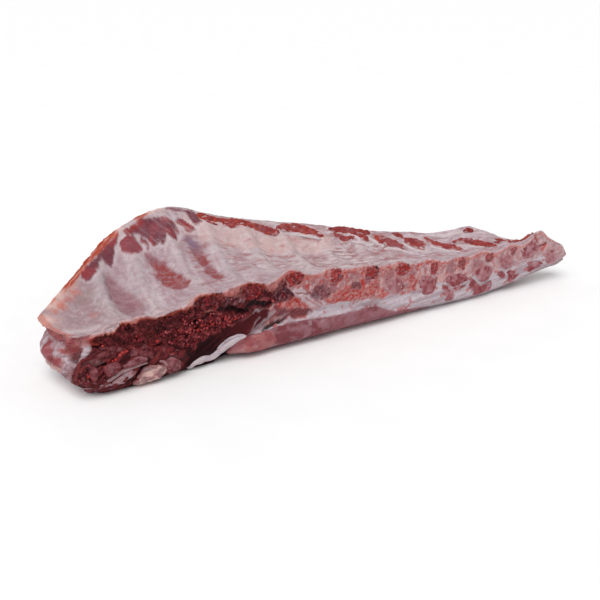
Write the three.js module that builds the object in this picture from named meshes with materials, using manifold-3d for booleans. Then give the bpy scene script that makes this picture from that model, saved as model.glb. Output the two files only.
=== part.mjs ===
// Raw rack of pork ribs, split down the backbone. It lies on its outer side, with the inside of the rib cage up.
// Millimetres, +Z up. X runs from the neck end (-X) to the loin end (+X), and the sawn backbone faces -Y.
// The origin is under the middle of the rack, on the surface that it rests on.
import * as THREE from "three";
import { mergeVertices } from "three/addons/utils/BufferGeometryUtils.js";
import Module from "manifold-3d";

const wasm = await Module();
wasm.setup();

// ---- Driving dimensions ----------------------------------------------------------------------------------
const LENGTH = 532; // neck end to the loin tip
const WIDTH = 186; // neck lobe to the widest rib end
const FIT = 0.3; // gap between a bone and the meat round it

// The ribs and their vertebrae, counted from the neck.
const RIB_COUNT = 13;
const FIRST_RIB = 49; // distance of the first vertebra's middle from the neck end
const RIB_PITCH = 37.2;
const PITCH_DRIFT = 11; // the middle vertebrae sit this much further towards the loin
const RIB = { width: 15, thick: 8, sweep: 28, sweepReach: 180, start: 20, skin: 3, proud: 1.5, steps: 6, sides: 8 };
const BODY = { halfLong: 13.5, halfTall: 11, shrink: 0.35, skin: 2.5, depth: 17, square: 3, sides: 12 };
const BLADE = { shift: -5, halfLong: 8, shortest: 14, longest: 26, depth: 12, square: 2.4, sides: 10, first: 2 };
const BONE_PROUD = 0.6; // how far a sawn bone stands out of the face

// Outlines along the rack. Every knot is [distance from the neck end, value].
const BACKBONE_TOP = [[0, 54], [40, 59], [92, 65], [118, 74], [174, 76], [240, 66], [318, 56], [374, 51], [450, 50],
  [491, 58], [515, 42], [LENGTH, 28]];
const BACKBONE_FOOT = [[0, 4], [25, 0], [400, 0], [470, 7], [505, 14], [LENGTH, 23]];
const RIB_REACH = [[0, 60], [46, 113], [95, 160], [160, 179.5], [214, 165], [295, 148], [370, 109], [447, 79],
  [490, 40], [LENGTH, 12]]; // from the sawn face to the rib ends
const RIM_HEIGHT = [[0, 50], [46, 60], [95, 75], [160, 87], [214, 73], [295, 57], [370, 48], [447, 45], [490, 40],
  [LENGTH, 26]]; // the far edge, at the rib ends
const RIM_THICK = [[0, 30], [80, 24], [300, 20], [450, 17], [LENGTH, 3]];
const FOLD_HEIGHT = [[105, 3], [150, 13], [176, 27], [255, 26], [295, 17], [330, 10], [380, 5]];

// The hollow inside of the cage.
const SCALLOP = { height: 2, spread: 11, sunk: 1.5 }; // the backbone's top edge, over and between the vertebrae
const BOWL = { fall: 0.5, climb: 0.3, widthClimb: 0.3, width: 180 };
const RIDGE = { height: 2.8, spread: 8, least: 0.3, fullWidth: 140, sunk: 0.4, blunt: 0.6 };
const FAR_EDGE = { bulge: 3, inset: 6 };

// The outer side is flat from the backbone over this share of the reach, then climbs to the rib ends.
const UNDERSIDE = { flat: 0.55, bend: 1.35 };

// Relief on the sawn side: how far each form stands out or is sunk, and where it begins and ends along the rack.
const FOOT_ROUND = { inset: 5, height: 7 };
const LOBE = { out: 6, middle: 48, halfLong: 52, height: 17, halfTall: 23, crown: 1.15 };
const LOIN_STRIP = { out: 3.5, from: [135, 160], to: [330, 440], height: 11, spread: 11 };
const FAT_FOLD = { depth: 3, from: [100, 125], to: [320, 380], spread: 3.5 };
const LOBE_GROOVE = { depth: 4, from: [20, 40], to: [80, 105], height: 47, fall: 0.2, spread: 4 };

// The neck end: the near corner is cut back, the sheet over the ribs furthest, and a hollow runs in under the sheet.
const NECK = { corner: 45, least: 2, climb: 0.45, hollow: 4, hollowHeight: 41, hollowSpread: 6 };
const SHEET_CORNER = { cut: 28, corner: 42, bend: 1.5, from: [44, 54] }; // from: heights where the sheet's cut begins
const NECK_FADE = 66; // the end's shape dies out over this distance
const SETTLE = 40; // rounds in which the section that reaches a place is found
const NECK_CAP = { rings: 3, widthShare: 0.45, height: 26 };

const STATIONS = 64; // sections along the rack
const AROUND = { inner: 15, rim: 3, under: 6, face: 10 }; // points round each section
const SPACING_BEND = 1.15; // crowds the inner points towards the backbone

// ---- Helpers ---------------------------------------------------------------------------------------------
const clamp = THREE.MathUtils.clamp;
const smoothstep = THREE.MathUtils.smoothstep;
const bell = (distance, spread) => Math.exp(-((distance / spread) ** 2));

// 1 along a form's length, rising from 0 over its first stretch and falling to 0 over its last.
const within = (place, from, to) => smoothstep(place, ...from) * (1 - smoothstep(place, ...to));

// A smooth curve through a few [place, value] knots, each with the slope between its neighbours.
function along(knots, place) {
  const last = knots.length - 1;
  let i = 0;
  while (i < last - 1 && place > knots[i + 1][0]) i++;
  const slope = (j) => {
    const [before, after] = [knots[Math.max(j - 1, 0)], knots[Math.min(j + 1, last)]];
    return (after[1] - before[1]) / (after[0] - before[0]);
  };
  const [start, low] = knots[i];
  const [end, high] = knots[i + 1];
  const span = end - start;
  const t = clamp((place - start) / span, 0, 1);
  const rise = t * t * (3 - 2 * t);
  return low + (high - low) * rise + span * t * (1 - t) * (slope(i) * (1 - t) - slope(i + 1) * t);
}

function solidOf(geometry) {
  const merged = mergeVertices(geometry, 1e-3);
  return new wasm.Manifold(new wasm.Mesh({
    numProp: 3,
    vertProperties: merged.attributes.position.array,
    triVerts: new Uint32Array(merged.index.array),
  }));
}

function geometryOf(solid) {
  const mesh = solid.getMesh();
  const geometry = new THREE.BufferGeometry();
  geometry.setAttribute("position", new THREE.BufferAttribute(mesh.vertProperties, 3));
  geometry.setIndex(new THREE.BufferAttribute(mesh.triVerts, 1));
  geometry.computeVertexNormals();
  return geometry;
}

// Closed rings of points, one after another, joined into a tube and closed at both ends.
function skinned(rings) {
  const around = rings[0].length;
  const triangles = [];
  for (let r = 0; r + 1 < rings.length; r++) {
    for (let i = 0; i < around; i++) {
      const [a, b] = [r * around + i, r * around + ((i + 1) % around)];
      triangles.push(a, b + around, b, a, a + around, b + around);
    }
  }
  const middle = (ring) => [0, 1, 2].map((axis) => ring.reduce((sum, point) => sum + point[axis], 0) / around);
  const positions = [...rings.flat(), middle(rings[0]), middle(rings.at(-1))];
  const [startPole, endPole, lastRing] = [positions.length - 2, positions.length - 1, (rings.length - 1) * around];
  for (let i = 0; i < around; i++) {
    const next = (i + 1) % around;
    triangles.push(startPole, i, next, endPole, lastRing + next, lastRing + i);
  }
  const geometry = new THREE.BufferGeometry();
  geometry.setAttribute("position", new THREE.Float32BufferAttribute(positions.flat(), 3));
  geometry.setIndex(triangles);
  return solidOf(geometry);
}

// ---- The rack's form, in distances from the neck end (d), from the sawn face (w) and from the table (z) --
const toFrame = (d, w, z) => [d - LENGTH / 2, w - WIDTH / 2 + LOBE.out, z];

const ribStarts = Array.from({ length: RIB_COUNT }, (_, k) => {
  const drift = Math.sin((Math.PI * Math.max(k - 1, 0)) / (RIB_COUNT - 2));
  return FIRST_RIB + RIB_PITCH * k + PITCH_DRIFT * drift;
});
const ribAt = (k, w) => ribStarts[k] + (RIB.sweep * w) / RIB.sweepReach; // the ribs sweep back towards the loin
const reach = (d) => along(RIB_REACH, d);
const foot = (d) => Math.max(0, along(BACKBONE_FOOT, d));

// 1 on a rib's line, falling to 0 between two ribs.
function overRib(d, w, spread) {
  return ribStarts.reduce((sum, _, k) => sum + bell(d - ribAt(k, w), spread), 0);
}

// The backbone's top edge is scalloped: it stands up over each vertebra.
function backboneTop(d) {
  return along(BACKBONE_TOP, d) + SCALLOP.height * overRib(d, 0, SCALLOP.spread) - SCALLOP.sunk;
}

// The inside of the rib cage: down behind the backbone, up again to the rib ends, with a low ridge over each rib.
function innerHeight(d, share) {
  const width = reach(d);
  const rise = share * share * (3 - 2 * share);
  const edges = backboneTop(d) * (1 - rise) + along(RIM_HEIGHT, d) * rise;
  const climb = BOWL.climb + (BOWL.widthClimb * width) / BOWL.width;
  const bowl = width * share * (1 - share) * (BOWL.fall * (1 - share) + climb * share);
  const ridge = RIDGE.height * clamp(width / RIDGE.fullWidth, RIDGE.least, 1) * Math.sin(Math.PI * share) ** RIDGE.blunt;
  return edges - bowl + ridge * (overRib(d, share * width, RIDGE.spread) - RIDGE.sunk);
}

function underHeight(d, share) {
  const lift = clamp((share - UNDERSIDE.flat) / (1 - UNDERSIDE.flat), 0, 1) ** UNDERSIDE.bend;
  const rimFoot = along(RIM_HEIGHT, d) - along(RIM_THICK, d);
  return foot(d) + (rimFoot - foot(d)) * lift;
}

// How far the side under and beside the vertebrae stands out past the saw's plane.
function faceOut(d, z) {
  const oval = LOBE.crown - ((d - LOBE.middle) / LOBE.halfLong) ** 2 - ((z - LOBE.height) / LOBE.halfTall) ** 2;
  const lobe = LOBE.out * Math.sqrt(clamp(oval, 0, 1));
  const strip = LOIN_STRIP.out * within(d, LOIN_STRIP.from, LOIN_STRIP.to)
    * bell(z - LOIN_STRIP.height, LOIN_STRIP.spread);
  const fold = FAT_FOLD.depth * within(d, FAT_FOLD.from, FAT_FOLD.to)
    * bell(z - along(FOLD_HEIGHT, d), FAT_FOLD.spread);
  const grooveHeight = LOBE_GROOVE.height - LOBE_GROOVE.fall * d;
  const groove = LOBE_GROOVE.depth * within(d, LOBE_GROOVE.from, LOBE_GROOVE.to)
    * bell(z - grooveHeight, LOBE_GROOVE.spread);
  return Math.min(lobe + strip - fold - groove, LOBE.out);
}

// How far the neck end is set back at a place on it, dying out along the rack.
function neckSetback(d, w, z) {
  const lean = clamp(1 - w / NECK.corner, 0, 1) * (NECK.least + NECK.climb * z);
  const sheet = SHEET_CORNER.cut * clamp(1 - w / SHEET_CORNER.corner, 0, 1) ** SHEET_CORNER.bend;
  const share = smoothstep(z, ...SHEET_CORNER.from);
  const hollow = NECK.hollow * bell(z - NECK.hollowHeight, NECK.hollowSpread);
  return (lean * (1 - share) + sheet * share + hollow) * (1 - smoothstep(d, 0, NECK_FADE));
}

// The top edge's height at a place along the saw's plane. Near the neck the sections are set back, so the section that
// reaches the place is closed in on.
function sawnTop(place) {
  let d = place;
  for (let i = 0; i < SETTLE; i++) d = place - neckSetback(d, 0, backboneTop(d));
  return backboneTop(d);
}

// One closed section across the rack, from the backbone's top edge over the inside, round the rim and back underneath.
function section(d) {
  const [width, bottom] = [reach(d), foot(d)];
  const [rimTop, rimThick] = [along(RIM_HEIGHT, d), along(RIM_THICK, d)];
  const points = (count, place) => Array.from({ length: count }, (_, i) => place(i / count));
  const inner = points(AROUND.inner, (step) => {
    const share = step ** SPACING_BEND;
    return [share * width, innerHeight(d, share)];
  });
  const rim = points(AROUND.rim, (step) => {
    const turn = Math.PI * step;
    return [width - FAR_EDGE.bulge * (1 - Math.sin(turn)), rimTop - (rimThick * (1 - Math.cos(turn))) / 2];
  });
  const under = points(AROUND.under, (step) => {
    const w = FAR_EDGE.bulge + (1 - step) * (width - FAR_EDGE.inset);
    return [w, underHeight(d, 1 - step)];
  });
  const face = points(AROUND.face, (step) => {
    const z = bottom + (backboneTop(d) - bottom) * step;
    const rounding = FOOT_ROUND.inset * (1 - smoothstep(z - bottom, 0, FOOT_ROUND.height));
    return [rounding - faceOut(d, z), z];
  });
  return [...inner, ...rim, ...under, ...face];
}

// ---- Pieces ----------------------------------------------------------------------------------------------
function meatBody() {
  const ringAt = (d, size) => {
    const [middleWidth, middleHeight] = [reach(d) * NECK_CAP.widthShare, NECK_CAP.height];
    return section(d).map(([w, z]) => {
      const [nearer, lower] = [middleWidth + (w - middleWidth) * size, middleHeight + (z - middleHeight) * size];
      return toFrame(d + neckSetback(d, nearer, lower), nearer, lower);
    });
  };
  const cap = Array.from({ length: NECK_CAP.rings }, (_, r) => ringAt(0, (r + 1) / (NECK_CAP.rings + 1)));
  const length = Array.from({ length: STATIONS }, (_, s) => ringAt((LENGTH * s) / (STATIONS - 1), 1));
  return skinned([...cap, ...length]);
}

// An oval or rounded block's outline in the saw's plane: a superellipse, as [distance from the neck end, height].
function roundedOutline(d, z, halfLong, halfTall, square, sides) {
  const signedPower = (value) => Math.sign(value) * Math.abs(value) ** (2 / square);
  return Array.from({ length: sides }, (_, i) => {
    const turn = (2 * Math.PI * (i + 0.5)) / sides;
    return [d + halfLong * signedPower(Math.cos(turn)), z + halfTall * signedPower(Math.sin(turn))];
  });
}

// Half a vertebra: the body at the top edge, which falls away inwards with the inside of the cage, and from the third
// on the blade of bone below it, which leans towards the neck.
function vertebra(k, grow) {
  const d = ribStarts[k];
  const [halfLong, halfTall] = [BODY.halfLong - BODY.shrink * k, BODY.halfTall - BODY.shrink * k];
  const corners = [-halfLong / 2, 0, halfLong * 0.7];
  const middle = Math.min(...corners.map((step) => sawnTop(d + step))) - BODY.skin - halfTall;
  const bodyRing = (w) => {
    const sunk = Math.min(0, innerHeight(d, Math.max(w, 0) / reach(d)) - backboneTop(d));
    const outline = roundedOutline(d, middle + sunk, halfLong + grow, halfTall + grow, BODY.square, BODY.sides);
    return outline.map(([x, z]) => toFrame(x, w, z));
  };
  const body = skinned([bodyRing(-BONE_PROUD), bodyRing(BODY.depth / 2), bodyRing(BODY.depth + grow)]);
  if (k < BLADE.first) return body;
  const drop = clamp(middle / 2, BLADE.shortest, BLADE.longest);
  const [bladeMiddle, bladeHalf] = [middle - drop * 0.75, drop * 0.55 + grow];
  return body.add(sawnBlade(d + BLADE.shift, bladeMiddle, BLADE.halfLong + grow, bladeHalf, BLADE.depth + grow));
}

function sawnBlade(d, z, halfLong, halfTall, depth) {
  const outline = roundedOutline(d, z, halfLong, halfTall, BLADE.square, BLADE.sides);
  const shape = new THREE.Shape(outline.map(([x, y]) => new THREE.Vector2(x, y)));
  const geometry = new THREE.ExtrudeGeometry(shape, { depth: depth + BONE_PROUD, bevelEnabled: false });
  geometry.deleteAttribute("normal");
  geometry.deleteAttribute("uv");
  geometry.rotateX(Math.PI / 2);
  const [x, y] = toFrame(0, 0, 0);
  geometry.translate(x, y + depth, 0);
  return solidOf(geometry);
}

// A flat oval bar under the inside of the cage, from behind its vertebra to the far edge. The slot cut for it is wider
// by the fit all round, starts a little sooner and runs out through the far edge.
function rib(k, grow) {
  const farEdge = reach(ribAt(k, reach(ribStarts[k]))) + RIB.proud;
  const ring = (w, shift) => {
    const d = ribAt(k, w);
    const z = innerHeight(d, clamp(w / reach(d), 0, 1)) - RIB.skin - RIB.thick / 2;
    return Array.from({ length: RIB.sides }, (_, i) => {
      const turn = (2 * Math.PI * (i + 0.5)) / RIB.sides;
      const [across, up] = [(RIB.width / 2 + grow) * Math.cos(turn), (RIB.thick / 2 + grow) * Math.sin(turn)];
      return toFrame(d + across, w + shift, z + up);
    });
  };
  const rings = Array.from({ length: RIB.steps + 1 }, (_, s) => {
    return ring(RIB.start + (farEdge - RIB.start) * (s / RIB.steps), 0);
  });
  if (grow === 0) return skinned(rings);
  return skinned([ring(RIB.start, -grow), ...rings, ring(farEdge, FAR_EDGE.inset)]);
}

// ---- Assembly --------------------------------------------------------------------------------------------
const meatFinish = new THREE.MeshStandardMaterial({ color: "#b0656a", roughness: 0.45 });
const boneFinish = new THREE.MeshStandardMaterial({ color: "#c99a8c", roughness: 0.6 });
const rack = new THREE.Group();

function addPiece(name, solid, finish) {
  const piece = new THREE.Mesh(geometryOf(solid), finish);
  piece.name = name;
  rack.add(piece);
}

let meat = meatBody();
for (const [kind, bone] of Object.entries({ vertebra, rib })) {
  for (let k = 0; k < RIB_COUNT; k++) {
    addPiece(`${kind}_${String(k + 1).padStart(2, "0")}`, bone(k, 0), boneFinish);
    meat = meat.subtract(bone(k, FIT));
  }
}
addPiece("meat", meat, meatFinish);

export default rack;
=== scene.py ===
"""A raw rack of pork ribs, split down the backbone: cut muscle, membrane, fat and bone over its solids."""

import itertools

import bpy
import numpy as np
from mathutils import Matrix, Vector


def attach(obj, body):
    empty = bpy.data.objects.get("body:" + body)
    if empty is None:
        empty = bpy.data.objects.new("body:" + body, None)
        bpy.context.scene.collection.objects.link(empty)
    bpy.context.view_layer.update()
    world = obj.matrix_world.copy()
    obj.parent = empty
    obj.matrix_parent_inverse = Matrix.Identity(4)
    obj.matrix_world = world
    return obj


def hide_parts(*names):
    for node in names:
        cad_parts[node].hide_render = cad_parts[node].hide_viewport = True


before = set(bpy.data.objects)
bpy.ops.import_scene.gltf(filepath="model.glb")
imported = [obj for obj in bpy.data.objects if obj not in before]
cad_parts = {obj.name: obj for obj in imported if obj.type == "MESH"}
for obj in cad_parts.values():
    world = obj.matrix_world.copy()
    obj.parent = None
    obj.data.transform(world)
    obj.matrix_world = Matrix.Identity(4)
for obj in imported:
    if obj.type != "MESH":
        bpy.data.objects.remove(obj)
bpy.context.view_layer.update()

bl_info = {
    "name": "Raw rack of ribs",
    "version": (1, 0, 0),
    "blender": (4, 5, 0),
    "location": "View3D > Sidebar > Ribs",
    "description": "Makes the surfaces of a raw rack of ribs around its packed solids",
    "category": "Object",
}

# ---- Sizes, in millimetres: d runs from the neck end, w in from the sawn face, z up from the table ---------
MM = 0.001
LENGTH = 532
WIDTH = 186
NECK_LOBE_OUT = 6
RIM_BULGE = 3
FOOT_ROUNDING, FOOT_ROUNDED = 5, 7  # the sawn face goes in this much at its foot, over this much height
RIB_COUNT, FIRST_RIB, RIB_PITCH, RIB_BOW = 13, 49, 37.2, 11
RIB_NUMBERS = np.arange(RIB_COUNT)
RIB_SWING = np.sin(np.pi * np.maximum(RIB_NUMBERS - 1, 0) / (RIB_COUNT - 2))
RIB_STARTS = FIRST_RIB + RIB_PITCH * RIB_NUMBERS + RIB_BOW * RIB_SWING
RIB_SWEEP = 28 / 180  # the ribs move this much towards the loin for each millimetre in from the face
RIB_WIDTH, RIB_THICK, RIB_START, RIB_SKIN, RIB_PROUD, RIB_FIT = 15, 8, 20, 3, 1.5, 0.97
VERTEBRA_LONG, VERTEBRA_TALL, VERTEBRA_SHRINK = 13.5, 11, 0.35
VERTEBRA_SKIN, VERTEBRA_DEPTH, BONE_PROUD = 2.5, 17, 0.6
FACE_RINGS, VERTEBRA_SIDES, RIB_RINGS, RIB_SIDES = 16, 72, 60, 28
BACKBONE_TOP = [
    (0, 54.5), (37, 54.8), (58, 60), (67, 60), (80, 53.6), (92, 58), (104, 61.3), (113, 65.3), (135, 66.2),
    (147, 68.3), (165, 66.8), (182, 66.2), (199, 71), (212, 68.6), (229, 63.8), (240, 65), (256, 64),
    (268, 61.3), (290, 59.3), (303, 57.8), (335, 53.5), (352, 52.5), (366, 50.5), (390, 48), (410, 50.5),
    (425, 46.8), (440, 48.5), (452, 49.5), (464, 48), (478, 52.5), (491, 57), (503, 50.5), (515, 44),
    (525, 38), (LENGTH, 28)]
BACKBONE_FOOT = [
    (0, 13), (14, 5), (30, 0), (120, 0), (128, 0.8), (134, 3.2), (140, 4.6), (150, 4.2), (160, 2), (172, 0.8),
    (200, 1.2), (250, 2.4), (330, 2.6), (370, 2), (400, 0.4), (430, 1.5), (470, 7), (505, 13.5), (520, 15),
    (LENGTH, 19)]
RIB_REACH = [
    (0, 60), (46, 113), (95, 160), (160, 179.5), (214, 165), (295, 148), (370, 109), (447, 79), (490, 40),
    (LENGTH, 12)]
RIM_HEIGHT = [
    (0, 50), (46, 60), (95, 75), (160, 87), (214, 73), (295, 57), (340, 51.5), (370, 47.5), (400, 44.8),
    (420, 42.5), (432, 43.5), (445, 46), (457, 49.5), (467, 46.5), (480, 40.5), (490, 38.5), (LENGTH, 26)]
RIM_THICK = [(0, 30), (80, 24), (300, 20), (450, 17), (LENGTH, 3)]
FOLD_HEIGHT = [(105, 3), (150, 13), (176, 27), (255, 26), (295, 17), (330, 10), (380, 5)]

# The body's grid: sections along the rack, and points round each side of one, in their order.
STATIONS = 538
AROUND = {"inside": 92, "edge": 12, "under": 18, "sawn": 58}
NECK_RINGS = 14
NECK_POLE = 0.45, 26  # the middle of the cut across the neck: its share of the width, and its height

# Strips and lumps: samples of a path, the step between two rings, and how far their edges are bedded in.
PATH_SAMPLES, RING_STEP, BEDDED = 400, 1.1, 0.25

# Shader constants of every finish.
BUMP_STRENGTH, COAT_ROUGHNESS, SPECULAR, SCATTER_SCALE = 0.8, 0.25, 0.1, 0.002
FLESH_SCATTER = (1.0, 0.35, 0.3)

# Stage.
SENSOR_WIDTH = 36
FLOOR_RADII, FLOOR_SIDES, FLOOR_DROP, FLOOR_SHADE = (200, 1000, 6000), 48, 0.05, 0.985

# ---- Markings on the inside, as outlines and paths of (d, w) -----------------------------------------------
PLATE_MUSCLES = {
    "long_rim": [
        (54, 111), (61, 119.4), (69.3, 128), (81.3, 140.1), (93.3, 150.7), (102.7, 157.7), (102.1, 151.6),
        (97.6, 147.1), (94.2, 141.9), (91.6, 135.6), (86.4, 126), (82, 121.5), (79, 125), (77.5, 128),
        (75.5, 127), (73.3, 122), (70.3, 115), (63, 107.8), (59.2, 104), (55.1, 104.8), (52.5, 106.4)],
    "oval": [
        (100.6, 145.5), (102.6, 148.3), (106.4, 150.5), (111.4, 153.5), (115.4, 152), (118.3, 147),
        (119.3, 140.5), (117.9, 134.5), (113.5, 130.8), (106, 127.8), (101.5, 132.9), (99.5, 139.8)],
    "sheet": [
        (109, 158), (113, 160.3), (119, 164.1), (126.1, 166.6), (132.8, 168.8), (139.8, 169.7),
        (145.2, 165.7), (151.5, 165.8), (157.7, 162.9), (160.3, 157.3), (160.4, 151.1), (159.4, 143.7),
        (152.4, 134.1), (148.6, 137.1), (146.6, 143.7), (145.7, 146.4), (143.7, 139.4), (138.9, 133.1),
        (136.8, 136.8), (137.7, 143.1), (134.2, 139.3), (131.2, 136.6), (128.8, 140.8), (126.4, 146.5),
        (122.5, 153.4), (115.4, 152), (110.9, 155.1)],
    "right_band": [
        (164.5, 164), (169.5, 162.4), (176.4, 157.1), (178.4, 148.2), (172.3, 145.2), (167.6, 149.3),
        (164.4, 154.5), (162.3, 159.5)],
    "outer_edge": [
        (154.8, 176.2), (163.9, 176.5), (172.3, 175.2), (179.8, 171.4), (185.4, 167.9), (187.1, 160.6),
        (188.5, 154.8), (182, 151.7), (180.5, 155.2), (179.1, 163), (176.5, 168.6), (168.3, 172.8),
        (158.9, 174.3)],
    "thread": [
        (122, 151.5), (124.8, 146), (125.3, 140), (124.3, 134), (122.8, 134), (123, 140), (121.2, 148)],
}
# Lean showing through the membrane between two ribs: its outline, and how red it is.
WINDOWS = {
    "first": ([
        (71.3, 106.5), (77.8, 108.6), (80.2, 102.8), (84.7, 94.1), (87.5, 81.8), (87.8, 68.6), (86, 45),
        (80, 30), (71, 32), (65, 50), (66.4, 77.3), (68.9, 89.8), (69.8, 102.5)], 0.2),
    "second": ([
        (119.5, 132.6), (126, 131), (130.5, 118), (131.5, 102), (134.5, 87), (137.5, 66), (131, 57.5),
        (123, 58), (117, 68), (114, 79), (115.5, 92.9), (117.5, 107.3), (117.8, 118.4), (118, 127)], 1.0),
    "third": ([
        (160.5, 137), (167.5, 140.5), (172, 136), (172.5, 125), (171, 111), (169.5, 99.9), (169.2, 88.3),
        (168, 66.7), (163, 60), (157.5, 66), (159.3, 82), (161.4, 100), (161.3, 110.1), (161.5, 119.6),
        (160.3, 130.3)], 0.9),
}
# Brown streaks in the membrane, as (d, w, half width) at either end.
STREAKS = [
    [(190, 131, 0.6), (206, 121, 1.6)], [(197, 113, 0.5), (213, 109, 1.4)], [(226, 97, 0.5), (240, 88, 1.3)],
    [(186, 122, 0.5), (196, 118, 1.2)], [(214, 131, 0.5), (226, 127, 1.0)],
    [(271, 128.6, 0.5), (285, 125.5, 1.0)], [(285, 125.5, 1.0), (301, 118, 0.7)],
    [(270, 117, 0.6), (286, 115, 1.3)], [(311, 104, 0.5), (326, 97, 1.2)], [(243, 98, 0.5), (258, 90, 1.2)],
    [(205, 92, 0.5), (221, 84, 1.3)], [(178, 108, 0.5), (190, 102, 1.2)], [(340, 84, 0.5), (356, 76, 1.4)],
    [(356, 62, 0.8), (372, 52, 2.2)], [(389, 47, 1.2), (402, 34, 2.2)], [(421, 44, 1.2), (437, 36, 2.4)],
    [(440, 30, 1.0), (450, 18, 1.4)]]
RED_SPOTS = [
    (241.5, 113, 2.2), (255.5, 116, 1.8), (197, 131, 1.4), (262, 134, 1.4), (460, 50, 1.4), (386, 97, 1.5)]
RIM_PATCHES = [
    [(12.4, 66.8), (20, 74), (27.9, 80), (31, 77), (23.1, 67.7), (14.2, 63.6)],
    [(26.4, 77), (35, 88), (43.1, 95.5), (45, 91), (40.2, 84), (33, 77), (29.3, 74.3)]]
# A painted shadow: greyish tan over the membrane at the far edge by the neck, as an outline of (d, w).
TAN_SHADOW_OUTLINE = [(36.3, 75.2), (44, 86), (53.9, 95.2), (57, 91), (49.1, 82), (40, 72)]
CREAM_FAT = [(176, 152, 10), (205, 140, 18), (240, 124, 16), (300, 112, 12)]
# Lean along the far edge: (d, w, half width), and how brown it is.
SKIRT_STRIPS = {
    "skirt_01": ([
        (203, 159, 1.5), (207, 157, 4), (214, 154.5, 6.3), (229, 151.5, 6), (241, 148.5, 5),
        (248, 144.5, 5.8), (256, 140.5, 6), (262, 137, 4), (265, 135, 2)], 0.9),
    "skirt_02": ([
        (262, 139, 2), (268, 142, 4), (276, 143, 6), (288, 140.5, 7), (297, 133.5, 6.5), (304, 127, 5),
        (309, 121, 2.5)], 0.7),
    "skirt_03": ([
        (321, 124, 2), (323, 118, 3.3), (327, 112.5, 3.6), (332, 109.5, 3.6), (338, 108.5, 2)], 0.35),
    "skirt_07": ([
        (431, 64, 2.5), (438, 60, 5), (445, 53, 5), (449, 43, 4.5), (451.5, 32, 4.5), (452, 20, 2)], 0.4),
    "skirt_08": ([
        (466, 38, 2), (475, 37, 3), (480, 30, 4.2), (480.5, 20, 4.2), (484, 12, 4), (486.5, 5, 2.6)], 0.75),
    "skirt_09": ([(318, 130, 1.5), (328, 125, 3.8), (338, 119.5, 4.2), (350, 112, 3.5), (358, 108, 2)], 0.1),
    "skirt_10": ([(337, 117, 2), (343, 110, 3.6), (347.5, 103.5, 4), (348, 98.5, 2.5)], 0.3),
    "skirt_11": ([(186, 165.5, 2.5), (192, 163, 4.5), (198, 161, 4.5), (206, 157.5, 4)], 1.0),
    "skirt_12": ([(192, 156.5, 1), (197, 154, 1.7), (203, 151.5, 1)], 1.0),
    "skirt_13": ([(449, 69, 1.5), (454, 65.5, 2.8), (456.5, 61, 1.5)], 0.5),
    "skirt_14": ([(459, 33, 1.2), (463, 32, 2.2), (468, 30.5, 1.4)], 1.0),
}
SKIRT_LUMPS = {
    "skirt_04": ([
        (358, 106), (363, 104), (369.5, 98), (374, 89), (379, 81), (378.5, 74), (374, 70), (370, 77),
        (364.5, 82), (360, 87), (355, 92), (357, 99)], 0.45),
    "skirt_05": ([
        (387, 92), (392, 89), (397, 87), (401, 81), (405.5, 76), (401, 70), (394, 64), (390, 68), (387.5, 74),
        (384.5, 83), (384.5, 88)], 0.3),
    "skirt_06": ([
        (408, 84), (413, 81), (417.5, 74), (424, 68), (431, 58), (431, 48), (427, 41), (423, 48), (417, 55),
        (412.5, 62), (408.5, 72), (406.5, 79)], 0.3),
    "skirt_15": ([(379, 100), (384, 99), (388, 94), (386.5, 89), (382.5, 92)], 0.4),
}
# Soft white folds beside the strips.
SKIRT_FILMS = {
    "skirt_fold_01": [(266, 133, 1), (276, 134, 2.4), (288, 132, 2.6), (297, 125, 2.4), (303, 118, 1)],
    "skirt_fold_02": [(330, 104, 1.2), (338, 99, 2.6), (345, 93.5, 2.6), (352, 92, 1.2)],
    "skirt_fold_03": [(331, 114, 1.5), (336, 111.5, 2.4), (340, 106, 2.6), (341, 100, 1.6)],
    "skirt_fold_04": [(350, 107, 1.6), (354, 98, 2.6), (359, 84, 2.2)],
    "skirt_fold_05": [(356, 82, 1.4), (366, 76, 2.4), (374, 66, 2.2), (380, 60, 1.2)],
    "skirt_fold_06": [(380, 84, 1.4), (384, 74, 2.2), (390, 62, 2.6), (398, 58, 1.4)],
    "skirt_fold_07": [(403, 68, 1.4), (410, 58, 2.4), (417, 49, 2.4), (424, 40, 1.4)],
    "skirt_fold_08": [(428, 56, 1.2), (436, 50, 2.2), (442, 42, 2.2), (446, 30, 1.2)],
    "skirt_fold_09": [(416, 86, 1.4), (430, 78, 3), (441, 72, 2.4), (448, 68, 1.2)],
}

# ---- Markings on the sawn face, as outlines and paths of (d, z) --------------------------------------------
CRUMBLY = [
    (3, 43), (2, 47), (8, 51), (16, 54.5), (34, 57), (52, 60), (66, 61), (84, 58), (101, 64), (113, 69),
    (128, 70), (150, 70), (166, 70), (182, 70), (192, 66), (196, 58), (202, 52), (203, 46), (196, 44),
    (184, 44.5), (178, 40), (168, 41), (160, 38), (151, 35), (140, 32), (125, 27), (115, 24), (110, 14),
    (105, 20), (100, 24), (94, 27), (85, 30), (73, 31.5), (62, 36.5), (48, 37), (36, 39.5), (20, 40)]
# Dark muscle under the backbone, deepened with painted shade under the overhang, as an outline of (d, z).
DARK_MUSCLE_AND_SHADE = [
    (97, 4), (104, 10), (110, 14), (115, 24), (125, 27), (140, 32), (151, 35), (160, 38), (168, 41),
    (178, 40), (184, 36), (180, 28), (172, 23.5), (160, 21), (150, 21), (140, 18), (132, 13), (124, 9.5),
    (116, 9), (108, 5), (100, 1)]
MAUVE_MUSCLE = [
    (182, 38), (186, 42), (195, 36), (208, 34), (217, 33), (228, 27), (211, 26.5), (195.5, 27), (184, 33)]
NECK_LOBE = [
    (-9, -5), (-9, 38), (3, 42), (36, 40), (62, 37), (73, 31), (85, 31), (92, 25), (104, 20), (104, 10),
    (98, -5)]
NECK_BAND = [(-9, 38), (3, 42), (3, 47), (8, 51), (16, 53.5), (20, 60), (-9, 60)]
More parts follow.
